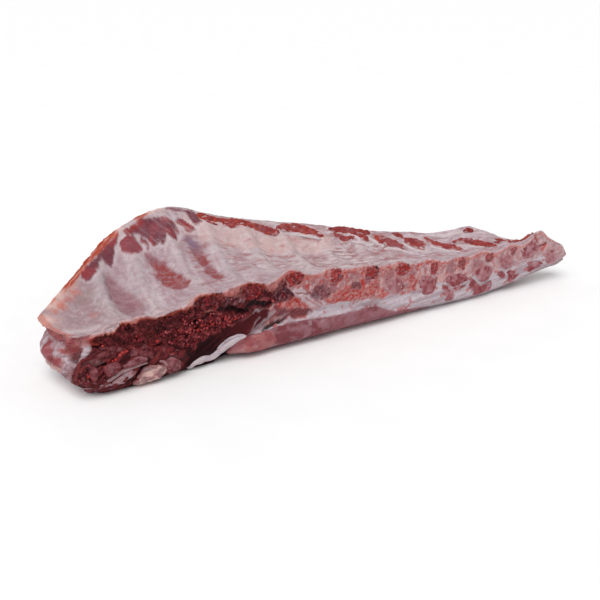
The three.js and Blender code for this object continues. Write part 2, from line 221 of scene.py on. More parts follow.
SPECKLED_BONE = [
    [
        (183, 46), (196, 46), (204.6, 46.2), (212.5, 40.4), (216.5, 35.9), (207, 34.5), (199, 38), (190, 36),
        (186, 41)],
    [
        (237, 35.2), (243, 40), (250, 43), (262, 45.4), (272, 40), (280, 38.5), (287, 46), (292, 44),
        (291, 35.7), (287, 30.1), (265, 31.5), (244, 32)],
    [(324, 41), (330, 42), (338, 34), (335, 24), (327, 24)]]
WHITE_TISSUE = [
    (202, 52.5), (210, 53.4), (220.5, 48.7), (231.4, 37.9), (241, 31), (233, 28), (220.8, 33.5),
    (209.6, 42.4), (202, 47.7)]
# On the sawn bones: (d, z), half width and height, and what shows there.
BONE_PATCHES = [
    ((74, 54.5, 8, 3.5), "lobe_red", 0.6), ((108, 61, 4, 3), "bone_tan", 0.8),
    ((99, 58.3, 2.4, 1.6), "rim_red", 0.9), ((134, 65.5, 2, 1.5), "rim_red", 0.95),
    ((145.5, 61, 8, 5), "bone_pink", 0.6), ((147, 54, 9, 4), "shaded_pocket", 0.7),
    ((185, 60.5, 8, 5), "bone_pink", 0.6), ((193.5, 50.5, 9, 6.5), "shaded_pocket", 0.8),
    ((174, 50.8, 6, 1.8), "crumb", 0.5), ((230.5, 44, 10, 7), "shaded_pocket", 0.85),
    ((235, 51.5, 4.5, 4), "gristle", 0.7), ((244.5, 47, 3.6, 5.5), "gristle", 0.85),
    ((267, 52, 5, 4), "gristle", 0.5), ((268.5, 43.5, 7, 4), "shaded_pocket", 0.75),
    ((275.5, 43, 2.3, 4.5), "speckle_red", 0.8), ((280.5, 46, 3.5, 5), "gristle", 0.85),
    ((303.5, 46, 5.5, 6.5), "gristle", 0.6), ((331, 47, 5, 6), "gristle", 0.4),
    ((376, 41, 5.5, 7), "gristle", 0.7), ((411.5, 37, 6, 4.5), "gristle", 0.7),
    ((365, 33, 5, 3.6), "bone_tan", 0.9), ((500.5, 38, 2.5, 4), "bone_tan", 0.8),
    ((497, 38.5, 2.2, 3.6), "speckle_red", 0.7), ((289.8, 56.6, 2.6, 1.9), "clot_and_gap_shadow", 1.0),
    ((324.5, 53.2, 1.3, 1.1), "clot_and_gap_shadow", 1.0)]
CREASES = [
    [(484, 56, 1.2), (487, 51, 1.5), (488, 47.5, 1.2), (486, 44.5, 0.9)],
    [(490.5, 44.5, 0.8), (496, 42.7, 1.3), (499.5, 42, 0.8)],
    [(205, 48.5, 0.4), (212, 48.5, 0.7), (219, 46, 0.5)]]
FAT_TOP = [
    (150, 18), (166, 22.5), (178, 23.5), (192, 26), (203, 26), (214.5, 26.5), (224.5, 28), (235, 30.5),
    (248.6, 30.6), (265.6, 28.5), (280, 27), (294, 26.5), (304, 27), (318, 25), (337, 26), (365, 27),
    (397, 27), (438, 27), (460, 26), (482, 30), (500, 30), (514, 24), (LENGTH, 22)]
FAT_FOOT = [
    (147, 16), (170, 20.5), (188, 20.5), (196, 23.5), (207, 23), (217, 22.2), (236, 20.8), (250, 20.4),
    (264, 19.5), (280, 19), (295, 17.5), (304, 12.5), (326, 8), (350, 4.3), (380, -2), (LENGTH, -10)]
EDGE_DEPTH = [
    (0, 3), (35, 3), (50, 2.4), (56, 4.6), (62, 5), (67, 2.6), (80, 2), (92, 2.2), (100, 2.6), (106, 5.5),
    (112, 3.4), (118, 2.4), (128, 2.2), (136, 4), (140, 6.5), (150, 6.5), (154, 3.5), (159, 1.5), (172, 1.6),
    (177, 5), (184, 7.5), (191, 7), (195, 2.6), (204, 1.8), (212, 2.8), (217, 5), (230, 4.5), (238, 3),
    (246, 1.5), (254, 4), (270, 4), (284, 1.6), (296, 4), (LENGTH, 3.2)]
# A crevice on the sawn face, painted near black as shade along with the gaps below.
CREVICE = [
    (132.5, 49.6, 1.2), (142, 48.4, 2.3), (151, 45, 2.8), (158, 44.2, 2.7), (161, 46, 2.6),
    (164.5, 48.4, 2.7), (168.5, 48.8, 2.5), (173, 46.7, 2.6), (181, 45, 1.4)]
# Painted shadows: gaps and crevices of the sawn face, as (d, z, half width), painted near black.
GAP_SHADOWS = [
    CREVICE, [(109, 44.5, 0.8), (118, 44, 1.2), (124, 47, 1), (130, 49, 0.6)],
    [(137.5, 4, 1.4), (140.5, 8, 1.8), (143, 12, 1), (147, 16.5, 0.6)],
    [(172, 21.8, 0.5), (180, 23.2, 1.1), (187, 25.6, 1.3), (194, 27.8, 0.6)],
    [(2, 41.3, 0.7), (14, 40.6, 1.1), (27, 41.3, 0.8)], [(16, 28, 0.7), (25, 27.4, 1.1), (33, 29, 0.8)],
    [(50, 6, 0.5), (55, 10.2, 1), (61.4, 14.9, 1), (67.8, 18.9, 0.5)]]
FASCIA = [
    [(163, 21.5, 0.8), (170, 25.3, 2), (177, 30, 2.2), (184, 37, 1.2)], [(161, 22, 0.5), (169.5, 34.5, 0.6)],
    [(164, 40, 0.8), (168, 42, 1.2), (173, 41, 0.8)], [(184, 27.3, 0.8), (190, 30, 1.2), (198, 31.5, 0.6)]]
FAT_TONGUE = [
    (103, 2, 1.2), (110, 5.5, 2.6), (117, 7.2, 3.4), (124, 6.5, 3.2), (130, 8.5, 3.6), (136, 13.5, 3.8),
    (142, 17, 3.4), (149, 20, 2.6), (157, 21.3, 1.4)]
TONGUE_FOLD = [(130, 14, 0.6), (136, 18.8, 0.9), (143, 21.8, 1), (149, 23, 0.9), (156, 22.3, 0.5)]
LOIN_STRIP = [(165, 12, 7), (180, 12.5, 9.5), (205, 13, 10), (240, 12, 9)]
LOIN_TIP = [
    (141.5, 9), (144, 13.5), (150, 17.5), (157, 19.5), (166, 20.5), (180, 21.5), (186, 14), (178, 6),
    (166, 3.6), (152, 4.6), (143, 5.4)]
# Lumps of lean and gristle on the loin's end: outline, height, and the share of pale gristle.
CHOPS = {
    "chop_07": ([
        (300, 42), (306, 44), (314, 42), (321, 38), (323, 32), (318, 27), (310, 26), (303, 31)], 1.0, 0.2),
    "chop_08": ([
        (339, 36), (346, 38), (354, 37), (360, 34), (360, 26), (355, 20), (347, 19), (341, 24)], 1.2, 0.05),
    "chop_09": ([
        (372, 31), (380, 33), (390, 33), (398, 29), (399, 21), (392, 16), (383, 15), (376, 20)], 1.4, 0.2),
    "chop_10": ([
        (407, 33), (414, 35), (424, 34), (430, 30), (429, 21), (421, 17), (413, 20), (407, 26)], 1.4, 0.45),
    "chop_11": ([
        (439, 40), (447, 41), (456, 38), (459, 31), (456, 25), (448, 24), (440, 28), (437, 34)], 1.2, 0.35),
    "chop_12": ([
        (466, 44), (472, 48), (481, 49), (489, 46), (493, 40), (490, 34), (481, 31), (471, 31.5),
        (466, 37)], 1.6, 0.55),
    "chop_13": ([
        (502, 31), (506, 34.5), (513, 34), (519, 30), (519, 22), (513, 18.5), (506, 19),
        (502, 24)], 1.2, 0.6),
    "strip_09": ([
        (367, 24), (371, 24.5), (375, 20), (381, 16), (382, 10), (377, 6.5), (371, 8), (367, 15)], 1.4, 0.0),
    "strip_10": ([
        (400, 26), (403, 25), (408, 17), (417, 13), (425, 15), (431, 17), (430, 8), (422, 3.5), (410, 4),
        (402, 12)], 1.6, 0.0),
    "strip_11": ([
        (450.5, 21.5), (456, 22.5), (463, 20), (468, 17), (464, 13.5), (458, 10.5), (453, 9),
        (450, 14)], 1.4, 0.0),
    "strip_12": ([
        (473, 22), (477, 26.5), (485, 27), (494, 25.5), (499, 22), (496, 19), (488, 17), (480, 16),
        (474, 18)], 1.2, 0.1),
    "strip_13": ([(437, 24), (443, 24.5), (448, 20), (449, 15), (444, 15), (439, 19)], 1.0, 0.1),
}
# Marrow in the sawn bones: (d, z, half length, half height), and how bright, how bony its rim.
MARROW = [
    ((93.5, 53.5, 11.5, 4.5), 0.1, 0.0), ((125.5, 58.5, 13, 7), 0.15, 0.9), ((165, 59.3, 10.5, 8), 0.4, 0.8),
    ((204.5, 63.3, 9.3, 7), 0.6, 0.7), ((246, 57.3, 6.8, 8), 0.9, 0.4), ((284, 52.5, 8, 6.5), 0.95, 0.3),
    ((319, 50, 6.5, 6), 1.0, 0.3), ((356, 43.5, 5, 6.5), 0.9, 0.3), ((390.5, 42.5, 4.3, 6.5), 0.8, 0.25),
    ((425, 42.5, 5, 5), 0.8, 0.25), ((455.5, 43.5, 4.2, 4), 0.9, 0.2)]
# The neck lobe's leaves of meat and fat: outline on the sawn face, height, two tones, and how crumbly it is.
NECK_LEAVES = {
    "neck_fat": ([
        (54, 4), (56.3, 8.5), (61.4, 14), (66, 16.8), (72, 17.4), (78, 16.5), (84.6, 13.1), (82, 8),
        (79, 4.5), (70, 2), (60, 1)], 2.2, ("neck_fat", "peach"), 0.0),
    "neck_leaf_01": ([
        (0.5, 22), (0.5, 28), (2, 30), (4.5, 26), (8, 19), (12.4, 13.7), (8, 9),
        (2.5, 14)], 1.04, ("lobe_lean", "lobe_red"), 0.8),
    "neck_leaf_02": ([
        (0.4, 32.8), (3, 38), (10, 40.5), (20, 39.5), (37.6, 37), (45, 36), (37, 32.6), (30, 30.8),
        (23.8, 29.5), (14.8, 27), (8.3, 23.5), (3, 27)], 1.04, ("lobe_lean", "neck_roll"), 0.35),
    "neck_leaf_03": ([
        (8, 24), (10.4, 26.2), (15, 25.1), (17.4, 18), (14.8, 14),
        (10.4, 17.7)], 1.69, ("neck_roll", "lobe_red"), 0.1),
    "neck_leaf_04": (
        [(46, 36), (56, 36.8), (68, 34.5), (74, 30), (66, 31), (56, 32.6)], 0.65, ("lobe_lean", "lobe_red"),
        0.1),
    "neck_leaf_05": ([
        (21.9, 26), (33.7, 28.4), (41.5, 25.3), (40.5, 20), (35, 17), (28.4, 16),
        (22.7, 21.1)], 1.56, ("neck_roll", "lobe_red"), 0.0),
    "neck_leaf_06": ([
        (50, 30), (54, 33), (64, 32.2), (73.5, 29.1), (74, 25), (71, 22.7), (66, 26.5),
        (56, 29)], 0.91, ("neck_roll", "lobe_lean"), 0.0),
    "neck_leaf_07": ([
        (43.5, 22.8), (50.1, 25.9), (58.5, 28), (67.1, 26.7), (68.8, 24.6), (66.8, 23.1), (59.5, 21.4),
        (50, 20.4), (45, 20.6)], 2.21, ("neck_roll", "gristle"), 0.0),
    "neck_leaf_08": ([
        (80.1, 17), (84, 20.5), (89, 20.7), (95.1, 15.5), (97, 9), (93, 4.8), (86.6, 4.6),
        (81, 11.5)], 1.69, ("neck_roll", "gristle"), 0.0),
    "neck_leaf_09": (
        [(74, 30), (86, 29), (98, 22), (97, 16), (86, 21.8), (76, 23)], 0.65, ("lobe_lean", "lobe_red"), 0.0),
    "neck_leaf_10": ([
        (30, 10.5), (38, 13.5), (46, 16.5), (55, 18), (57, 14), (51, 11), (42, 9),
        (34, 8)], 1.1, ("neck_fat", "fascia"), 0.0),
    "neck_leaf_11": (
        [(12, 15), (22, 15.5), (34, 12), (40, 6), (30, 2), (14, 3.5), (8, 9)], 0.78,
        ("lobe_lean", "neck_roll"), 0.0),
}
# Thin edges of the leaves: path on the sawn face, height, its two tones, and how crumbly it is.
NECK_RIDGES = {
    "neck_ridge_01": ([
        (7, 7.5, 0.5), (16, 9.5, 1.1), (26, 12, 1.5), (36, 15.5, 1.7), (46, 18.5, 1.7), (57, 20, 1.5),
        (68, 21, 0.7)], 1.0, ("mottle", "neck_fat"), 0.0),
    "neck_ridge_02": (
        [(30, 17, 0.4), (42, 19.4, 0.7), (54, 20.6, 0.8), (63, 21.4, 0.5)], 0.9, ("neck_roll", "neck_fat"),
        0.0),
    "neck_ridge_03": (
        [(14, 7, 0.5), (24, 9.5, 1.2), (36, 9.5, 1.3), (46, 8.5, 0.8)], 1.2, ("neck_roll", "mottle"), 0.0),
    "neck_ridge_04": (
        [(77, 19.5, 0.8), (81, 18, 1.6), (84, 13.5, 1.4), (86, 9, 0.8)], 1.4, ("neck_fat", "mottle"), 0.0),
}
# Larger orange-red crumbs: (d, z, radius).
RIDGE_CRUMBS = [
    (49.3, 33.6, 2.1), (46.4, 34.3, 1.7), (43.8, 33.4, 1.9), (40.6, 33.2, 1.5), (37.8, 32.2, 1.9),
    (35.2, 30.8, 1.4), (33, 30.2, 1.7), (30.4, 29.2, 1.3), (27.6, 28.4, 1.5), (25.2, 27.9, 1.5),
    (22.8, 27.4, 1.1), (2.4, 27.9, 1.8), (3.6, 26.2, 2), (1.8, 25, 1.4), (4.2, 23.4, 1.5), (6.4, 22.6, 1.2),
    (2.6, 18, 1.1), (4.4, 15.6, 1.4), (7.6, 19.4, 1.4), (11, 42.4, 1.6), (62, 42.6, 1.5), (70.5, 46.1, 1.5),
    (78, 33.6, 1.6), (89, 40.4, 1.6), (98, 40.2, 1.4), (107, 38.6, 1.9), (116, 45, 1.9), (117.4, 39.6, 1.8),
    (109, 45.4, 1.5), (112, 28, 1.9), (110, 57.2, 1.6), (121, 35.4, 1.6), (127, 38.2, 1.9),
    (133.4, 39.6, 1.8), (139.6, 40.6, 1.7), (147.6, 39.8, 1.9), (143, 36, 1.4), (103, 35, 1.5),
    (114, 36.4, 1.5), (125, 42, 1.4), (97, 32.4, 1.3), (136, 35.6, 1.3), (130, 33.4, 1.2)]

# Areas of the sawn face, with how soft their edges are, and lines on it, with the span of their edges.
SAWN_AREAS = {
    "crumbly": ([CRUMBLY], 1.3),
    "dark": ([DARK_MUSCLE_AND_SHADE], 1.5),
    "mauve": ([MAUVE_MUSCLE], 1.2),
    "lobe": ([NECK_LOBE], 1.2),
    "band": ([NECK_BAND], 1.2),
    "speckled": (SPECKLED_BONE, 1.6),
    "white": ([WHITE_TISSUE], 1.4),
}
SAWN_LINES = {"gap": (GAP_SHADOWS, -0.7, 0.9), "fascia": (FASCIA, -0.8, 0.8), "crease": (CREASES, -0.8, 0.5)}
THICK_MIDDLE, THICK_SIZE, THICK_SLANT = (118, 38), (38, 10), 0.15  # where the crumbs lie thickest
CRUMB_COUNT, CRUMB_SEED, CRUMB_PROUD = 300, 12, 0.3

# ---- Markings on the cut across the neck end, as outlines of (w, z) ----------------------------------------
NECK_MUSCLES = {
    "upper_left": [(47, 45), (31, 44.5), (29, 39), (34, 35.5), (47, 37)],
    "upper_right": [(28.5, 44), (18, 45), (11, 44), (9.5, 38), (14, 33), (22, 33), (27, 36)],
    "left": [(49, 34), (37, 34), (33, 29), (31, 22), (36, 18), (49, 20)],
    "middle": [(30, 28), (22, 27.5), (19, 21), (24, 17), (31, 18.5)],
    "low": [(18, 25), (12, 24), (11, 17), (15, 14.5), (18.5, 17)],
}
# A hollow in the neck end, painted dark as shade, as an outline of (w, z).
NECK_HOLLOW = [(16, 33.5), (8, 36), (5.5, 31), (9, 27.5), (15, 29)]
NECK_FASCIA = [
    [(0, 40.5, 2), (3, 38, 3), (6, 33, 3), (9, 28, 2.6), (12, 22, 2), (14, 16, 1.6)],
    [(37, 33, 2.5), (31, 34, 2.5), (27, 30, 2), (20, 28.5, 1.4), (12, 26.5, 1)]]
NECK_RED_LINE = [(28, 32.5, 0.6), (22, 31, 1.1), (17, 32, 0.6)]
NECK_END_FAT = [
    (56, 17), (42.6, 18), (33.4, 19), (23.3, 20), (15.7, 18), (10.3, 14), (18, 8), (40, 6), (56, 8)]


# ---- Curves, masks and noise -------------------------------------------------------------------------------
def ramp(value, low, high):
    """0 up to low, 1 past high, and 3t^2 - 2t^3 of the share of the way t between them. It falls where low is
    the greater."""
    t = np.clip((value - low) / (high - low), 0, 1)
    return t * t * (3 - 2 * t)


def bell(distance, spread):
    """1 in the middle, falling off as e to the minus (distance / spread) squared."""
    return np.exp(-((distance / spread) ** 2))


def within(place, start, end):
    """Rises from 0 to 1 over the span start, and falls back to 0 over the span end."""
    return ramp(place, *start) * (1 - ramp(place, *end))


def along(knots, place):
    """A smooth curve through (place, value) knots: a cubic on each span. Its slope at a knot is the slope
    between the knots on either side."""
    at, value = np.array(knots, float).T
    last = len(at) - 1
    before = np.maximum(np.arange(last + 1) - 1, 0)
    after = np.minimum(np.arange(last + 1) + 1, last)
    slope = (value[after] - value[before]) / (at[after] - at[before])
    i = np.clip(np.searchsorted(at, place, side="left") - 1, 0, last - 1)
    span = at[i + 1] - at[i]
    t = np.clip((place - at[i]) / span, 0, 1)
    rise = t * t * (3 - 2 * t)
    bend = span * t * (1 - t) * (slope[i] * (1 - t) - slope[i + 1] * t)
    return value[i] + (value[i + 1] - value[i]) * rise + bend


def inside_outline(u, v, outline):
    """How far a point lies inside a closed outline: the distance to the nearest side, negative outside. It is
    inside where a line from it crosses the outline an odd number of times."""
    corners = np.array(outline, float)
    nearest = np.full(np.shape(u), np.inf)
    odd = np.zeros(np.shape(u), bool)
    for (u0, v0), (u1, v1) in zip(corners, np.roll(corners, -1, 0)):
        du, dv = u1 - u0, v1 - v0
        t = np.clip(((u - u0) * du + (v - v0) * dv) / (du * du + dv * dv), 0, 1)
        nearest = np.minimum(nearest, np.hypot(u - u0 - t * du, v - v0 - t * dv))
        crosses = (v0 > v) != (v1 > v)
        odd ^= crosses & (u < u0 + du * (v - v0) / np.where(dv == 0, 1, dv))
    return np.where(odd, nearest, -nearest)


def inside_band(u, v, path):
    """How far a point lies inside a band along (u, v, half width) knots: the half width less the distance."""
    best = np.full(np.shape(u), -np.inf)
    for (u0, v0, r0), (u1, v1, r1) in zip(path, path[1:]):
        du, dv = u1 - u0, v1 - v0
        t = np.clip(((u - u0) * du + (v - v0) * dv) / (du * du + dv * dv), 0, 1)
        best = np.maximum(best, r0 + (r1 - r0) * t - np.hypot(u - u0 - t * du, v - v0 - t * dv))
    return best


HASH_AXES, HASH_SEED = (73856093, 19349663, 83492791), 668265263
HASH_ROUNDS = ((15, 1274126177), (13, 1103515245))


def lattice_noise(points, seed):
    """Smooth noise from -1 to 1: each whole-number corner has a value from its hash, blended between them."""
    whole = np.floor(points).astype(np.int64)
    part = points - whole
    ease = part ** 3 * (part * (part * 6 - 15) + 10)
    total = np.zeros(points.shape[:-1])
    for corner in itertools.product((0, 1), repeat=3):
        key = ((whole + corner) * HASH_AXES).sum(-1) + seed * HASH_SEED
        for shift, factor in HASH_ROUNDS:
            key = ((key ^ (key >> shift)) & 0xFFFFFFFF) * factor & 0xFFFFFFFF
        value = ((key >> 8) & 0xFFFF) / 32767.5 - 1
        total += value * np.where(corner, ease, 1 - ease).prod(-1)
    return total


def noise(points, size, seed=0, octaves=2):
    """Layers of lattice noise: the first has features of this size, the others half the size and height."""
    scaled = np.asarray(points, float) / size
    return sum(lattice_noise(scaled * 2 ** o, seed + o) * 0.5 ** o for o in range(octaves))


def joined(x, y, z):
    """Points, or places for noise, from their three parts."""
    return np.stack(np.broadcast_arrays(x, y, z), -1)


def turns(count):
    """Angles evenly round a circle."""
    return np.linspace(0, 2 * np.pi, count, endpoint=False)


def unit(vectors):
    """Vectors at a length of 1."""
    return vectors / np.maximum(np.linalg.norm(vectors, axis=-1, keepdims=True), 1e-9)


def blend(under, over, amount):
    """Colours mixed: under where amount is 0, over where it is 1."""
    return under + (np.asarray(over, float) - under) * np.clip(amount, 0, 1)[..., None]


# ---- The rack's form ---------------------------------------------------------------------------------------
def to_frame(d, w, z):
    """The scene's place of a point: the rack's middle is over the origin, and it stands on the floor."""
    return joined(d - LENGTH / 2, w - WIDTH / 2 + NECK_LOBE_OUT, z)


def rib_at(k, w):
    """Where rib k is, this far in from the face: on a straight line that leans to the loin."""
    return RIB_STARTS[k] + RIB_SWEEP * w


def over_ribs(d, w, spread):
    """1 on each rib's line, falling to 0 between two ribs."""
    return sum(bell(d - rib_at(k, w), spread) for k in range(RIB_COUNT))


def reach(d):
    """How far in the far edge is: a smooth curve through its knots."""
    return along(RIB_REACH, d)


def foot(d):
    """The height of the sawn face's foot: a smooth curve through its knots, never below the table."""
    return np.maximum(0, along(BACKBONE_FOOT, d))


def backbone_top(d):
    """The height of the sawn edge: a smooth curve through its knots, with a scallop over each vertebra."""
    return along(BACKBONE_TOP, d) + 3.5 * over_ribs(d + 7, 0, 11) - 1.5


def inner_height(d, share):
    """The hollow inside: a blend of the edges' heights, less a bowl between, plus a ridge over each rib."""
    width = reach(d)
    rise = share * share * (3 - 2 * share)
    edges = backbone_top(d) * (1 - rise) + along(RIM_HEIGHT, d) * rise
    bowl = width * share * (1 - share) * (0.5 * (1 - share) + (0.3 + 0.3 * width / 180) * share)
    ridge = 2.8 * np.clip(width / 140, 0.3, 1) * np.sin(np.pi * np.clip(share, 0, 1)) ** 0.6
    return edges - bowl + ridge * (over_ribs(d, share * width, 8) - 0.4)


def under_height(d, share):
    """The underside: level with the foot, then rising from about half way to the foot of the rim."""
    lift = np.clip((share - 0.55) / 0.45, 0, 1) ** 1.35
    rim_foot = along(RIM_HEIGHT, d) - along(RIM_THICK, d)
    return foot(d) + (rim_foot - foot(d)) * lift


def foot_rounding(above):
    """How far the sawn face goes in at a height above its foot: a smooth step down to 0."""
    return FOOT_ROUNDING * ramp(above, FOOT_ROUNDED, 0)


def face_out(d, z):
    """How far the sawn side stands out: the neck's half ellipsoid and the loin's strip, less two grooves."""
    lobe = 6 * np.sqrt(np.clip(1.15 - ((d - 48) / 52) ** 2 - ((z - 17) / 23) ** 2, 0, 1))
    strip = 3.5 * within(d, (135, 160), (330, 440)) * bell(z - 11, 11)
    fold = 3 * within(d, (100, 125), (320, 380)) * bell(z - along(FOLD_HEIGHT, d), 3.5)
    groove = 4 * within(d, (20, 40), (80, 105)) * bell(z - (47 - 0.2 * d), 4)
    return np.minimum(lobe + strip - fold - groove, NECK_LOBE_OUT)


def neck_setback(d, w, z):
    """How far the neck end is cut back: the lean's near corner, the sheet's above, and a hollow between."""
    lean = np.clip(1 - w / 45, 0, 1) * (7 + 0.3 * z)
    sheet = 28 * np.clip(1 - w / 42, 0, 1) ** 1.5
    share = ramp(z, 44, 54)
    return (lean * (1 - share) + sheet * share + 8 * bell(z - 39, 7)) * ramp(d, 66, 0)


def sawn_top(place):
    """The top edge's height at a place along the face, closing in on the section that is set back to it."""
    d = place
    for _ in range(40):
        d = place - neck_setback(d, 0, backbone_top(d))
    return backbone_top(d)


def sawn_surface(d, z):
    """The sawn face at a distance and a height, rounded in at its foot."""
    w = foot_rounding(z - foot(d)) - face_out(d, z)
    return to_frame(d + neck_setback(d, w, z), w, z)


def inside_surface(d, w):
    """The inside, and past its far edge the half circle round the rim."""
    width, top, thick = reach(d), along(RIM_HEIGHT, d), along(RIM_THICK, d)
    flat = width - RIM_BULGE
    turn = np.pi * np.clip((w - flat) / thick, 0, 1)
    share = np.clip(w / flat, 0, 1)
    on_rim = w > flat
    across = np.where(on_rim, width - RIM_BULGE * (1 - np.sin(turn)), w)
    height = np.where(on_rim, top - thick * (1 - np.cos(turn)) / 2, inner_height(d, share))
    return to_frame(d + neck_setback(d, across, height), across, height)


def body_section(d):
    """One closed section: w and z of every point round it, for each distance d down a column."""
    width, bottom, top = reach(d), foot(d), backbone_top(d)
    rim_top, rim_thick = along(RIM_HEIGHT, d), along(RIM_THICK, d)
    step = {part: (np.arange(count) / count)[None] for part, count in AROUND.items()}
    share = step["inside"] ** 1.1
    turn = np.pi * step["edge"]
    across = np.concatenate([
        share * (width - RIM_BULGE),
        width - RIM_BULGE * (1 - np.sin(turn)),
        RIM_BULGE + (1 - step["under"]) * (width - 2 * RIM_BULGE),
        np.zeros_like(d) * step["sawn"],
    ], 1)
    height = np.concatenate([
        inner_height(d, share + 0 * d),
        rim_top - rim_thick * (1 - np.cos(turn)) / 2,
        under_height(d, 1 - step["under"]),
        bottom + (top - bottom) * step["sawn"],
    ], 1)
    face = foot_rounding(height - bottom) - face_out(d + 0 * height, height)
    sawn = np.concatenate([np.full(count, part == "sawn") for part, count in AROUND.items()])
    return np.where(sawn, face, across), height


def body_grid():
    """d, w and z of the whole body's points, and how far out each one is. The neck end's rings shrink to its
    middle, and one section after another follows to the loin tip."""
    stations = np.concatenate([np.zeros(NECK_RINGS), np.linspace(0, LENGTH, STATIONS)])[:, None]
    size = np.concatenate([(np.arange(NECK_RINGS) + 1) / (NECK_RINGS + 1), np.ones(STATIONS)])[:, None]
    w, z = body_section(stations)
    middle_w, middle_z = reach(stations) * NECK_POLE[0], NECK_POLE[1]
    w, z = middle_w + (w - middle_w) * size, middle_z + (z - middle_z) * size
    d = stations + 0 * w
    return d, w, z, size + 0 * w


# ---- Meshes ------------------------------------------------------------------------------------------------
def grid_normals(points):
    """Across each point of closed rings, square to the lines along and round the grid."""
    around = np.roll(points, -1, 1) - np.roll(points, 1, 1)
    return unit(np.cross(np.gradient(points, axis=0), around))


def tube_faces(rings, around):
    """Quads between neighbouring rings, and a fan at each end to a pole. The poles come after the rings."""
    a = np.arange((rings - 1) * around).reshape(rings - 1, around)
    b = np.roll(a, -1, 1)
    quads = np.stack([a, a + around, b + around, b], -1).reshape(-1, 4)
    first = np.arange(around)
    final = first + (rings - 1) * around
    first_pole = rings * around
    fans = np.concatenate([
        np.stack([np.full(around, first_pole), first, np.roll(first, -1)], -1),
        np.stack([np.full(around, first_pole + 1), np.roll(final, -1), final], -1),
    ])
    return quads, fans


def closed(field):
    """A field on rings, flattened, with each end ring's mean after it for the two poles."""
    flat = field.reshape(-1, *field.shape[2:])
    return np.concatenate([flat, field[:1].mean(1), field[-1:].mean(1)])


def make_mesh(name, points, quads, fans, fields):
    """A mesh object of points in millimetres. Its faces are turned over if they enclose a negative volume."""
    triangles = np.concatenate([quads[:, [0, 1, 2]], quads[:, [0, 2, 3]], fans])
    a, b, c = (points[triangles[:, i]] for i in range(3))
    if np.einsum("ij,ij->", a, np.cross(b, c)) < 0:
        quads, fans = quads[:, ::-1], fans[:, ::-1]
    mesh = bpy.data.meshes.new(name)
    mesh.from_pydata((points * MM).tolist(), [], quads.tolist() + fans.tolist())
    mesh.polygons.foreach_set("use_smooth", np.ones(len(mesh.polygons), bool))
    for key, value in fields.items():
        kind, entry = ("FLOAT_COLOR", "color") if value.ndim == 2 else ("FLOAT", "value")
        if value.ndim == 2:
            value = np.concatenate([value, np.ones((len(value), 1))], 1)
        mesh.attributes.new(key, kind, "POINT").data.foreach_set(entry, value.astype(np.float32).ravel())
    mesh.update()
    piece = bpy.data.objects.new(name, mesh)
    bpy.context.scene.collection.objects.link(piece)
    return piece


def make_tube(name, points, fields):
    """A closed piece of rings of points, with a pole at each end, and its fields given on the same rings."""
    quads, fans = tube_faces(*points.shape[:2])
    return make_mesh(name, closed(points), quads, fans, {key: closed(value) for key, value in fields.items()})


def keep(piece, finish, slot, *nodes):
    """Gives a piece its finish and its place in the frame."""
    piece.data.materials.append(finish)
    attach(piece, "root")
    if nodes:
        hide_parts(*nodes)
    return piece


def smooth_path(path, count):
    """u, v and half width along a few knots, evenly spaced in the knots' own straight-line length."""
    knots = np.array(path, float)
    gone = np.concatenate([[0], np.cumsum(np.hypot(*np.diff(knots[:, :2], axis=0).T))])
    place = np.linspace(0, gone[-1], count)
    return [along(list(zip(gone, knot)), place) for knot in knots.T], gone[-1]


def surface_normal(surface, u, v, step=0.6):
    """Square to a surface: the cross product of its changes over a step in u and in v."""
    across = surface(u + step, v) - surface(u - step, v)
    return unit(np.cross(across, surface(u, v + step) - surface(u, v - step)))


def strip(surface, path, height, sink=2.5, roundness=2.4, crown=0.6, rough=0.25, size=5.0, seed=0, sides=36):
    """A soft strip lying on a surface. Each ring crosses a path of (u, v, half width). Over the top it stands
    height x (1 - across^2)^crown above the surface, and underneath it is sunk in. The ends are rounded as a
    superellipse. Noise moves every point. Returns the rings and how near each point is to the edge."""
    centre, length = smooth_path(path, PATH_SAMPLES)
    steps = int(np.clip(length / RING_STEP, 20, 240))
    bend = np.linspace(-1, 1, steps + 2)[1:-1]
    place = (np.sin(bend * np.pi / 2) * 0.35 + bend * 0.65) * 0.5 + 0.5
    ends = np.clip(np.minimum(place, 1 - place) * length / centre[2].max(), 0, 1)
    taper = ((1 - (1 - ends) ** roundness) ** (1 / roundness))[:, None]
    u, v, half = (np.interp(place, np.linspace(0, 1, PATH_SAMPLES), part)[:, None] for part in centre)
    du, dv = np.gradient(u, axis=0), np.gradient(v, axis=0)
    du, dv = du / np.hypot(du, dv), dv / np.hypot(du, dv)
    turn = turns(sides)[None]
    across = np.cos(turn) + 0 * half
    uneven = 1 + 0.12 * noise(joined(u, v, np.sign(across) * 9), 6, seed)
    uu, vv = u - dv * half * taper * across * uneven, v + du * half * taper * across * uneven
    edge = np.clip(1 - across ** 2, 0, 1)
    base, normal = surface(uu, vv), surface_normal(surface, uu, vv)
    wobble = noise(base, size, seed + 31, 3)
    above = height * edge ** crown * taper ** 0.8 * (1 + 0.25 * wobble) + rough * wobble * edge ** 0.5
    offset = np.where(np.sin(turn) > -1e-9, above, -sink * edge ** 0.5) - BEDDED
    return base + normal * offset[..., None], np.maximum(np.abs(across), 1 - taper)


def round_outline(outline, count):
    """A closed curve through an outline's corners, each stretch a cubic through its four nearest corners."""
    corners = np.array(outline, float)
    place = np.linspace(0, len(corners), count, endpoint=False)
    i, t = np.floor(place).astype(int), (place % 1)[:, None]
    before, start, end, after = (corners[(i + step) % len(corners)] for step in (-1, 0, 1, 2))
    return 0.5 * (2 * start + (end - before) * t + (2 * before - 5 * start + 4 * end - after) * t ** 2
                  + (3 * start - before - 3 * end + after) * t ** 3)


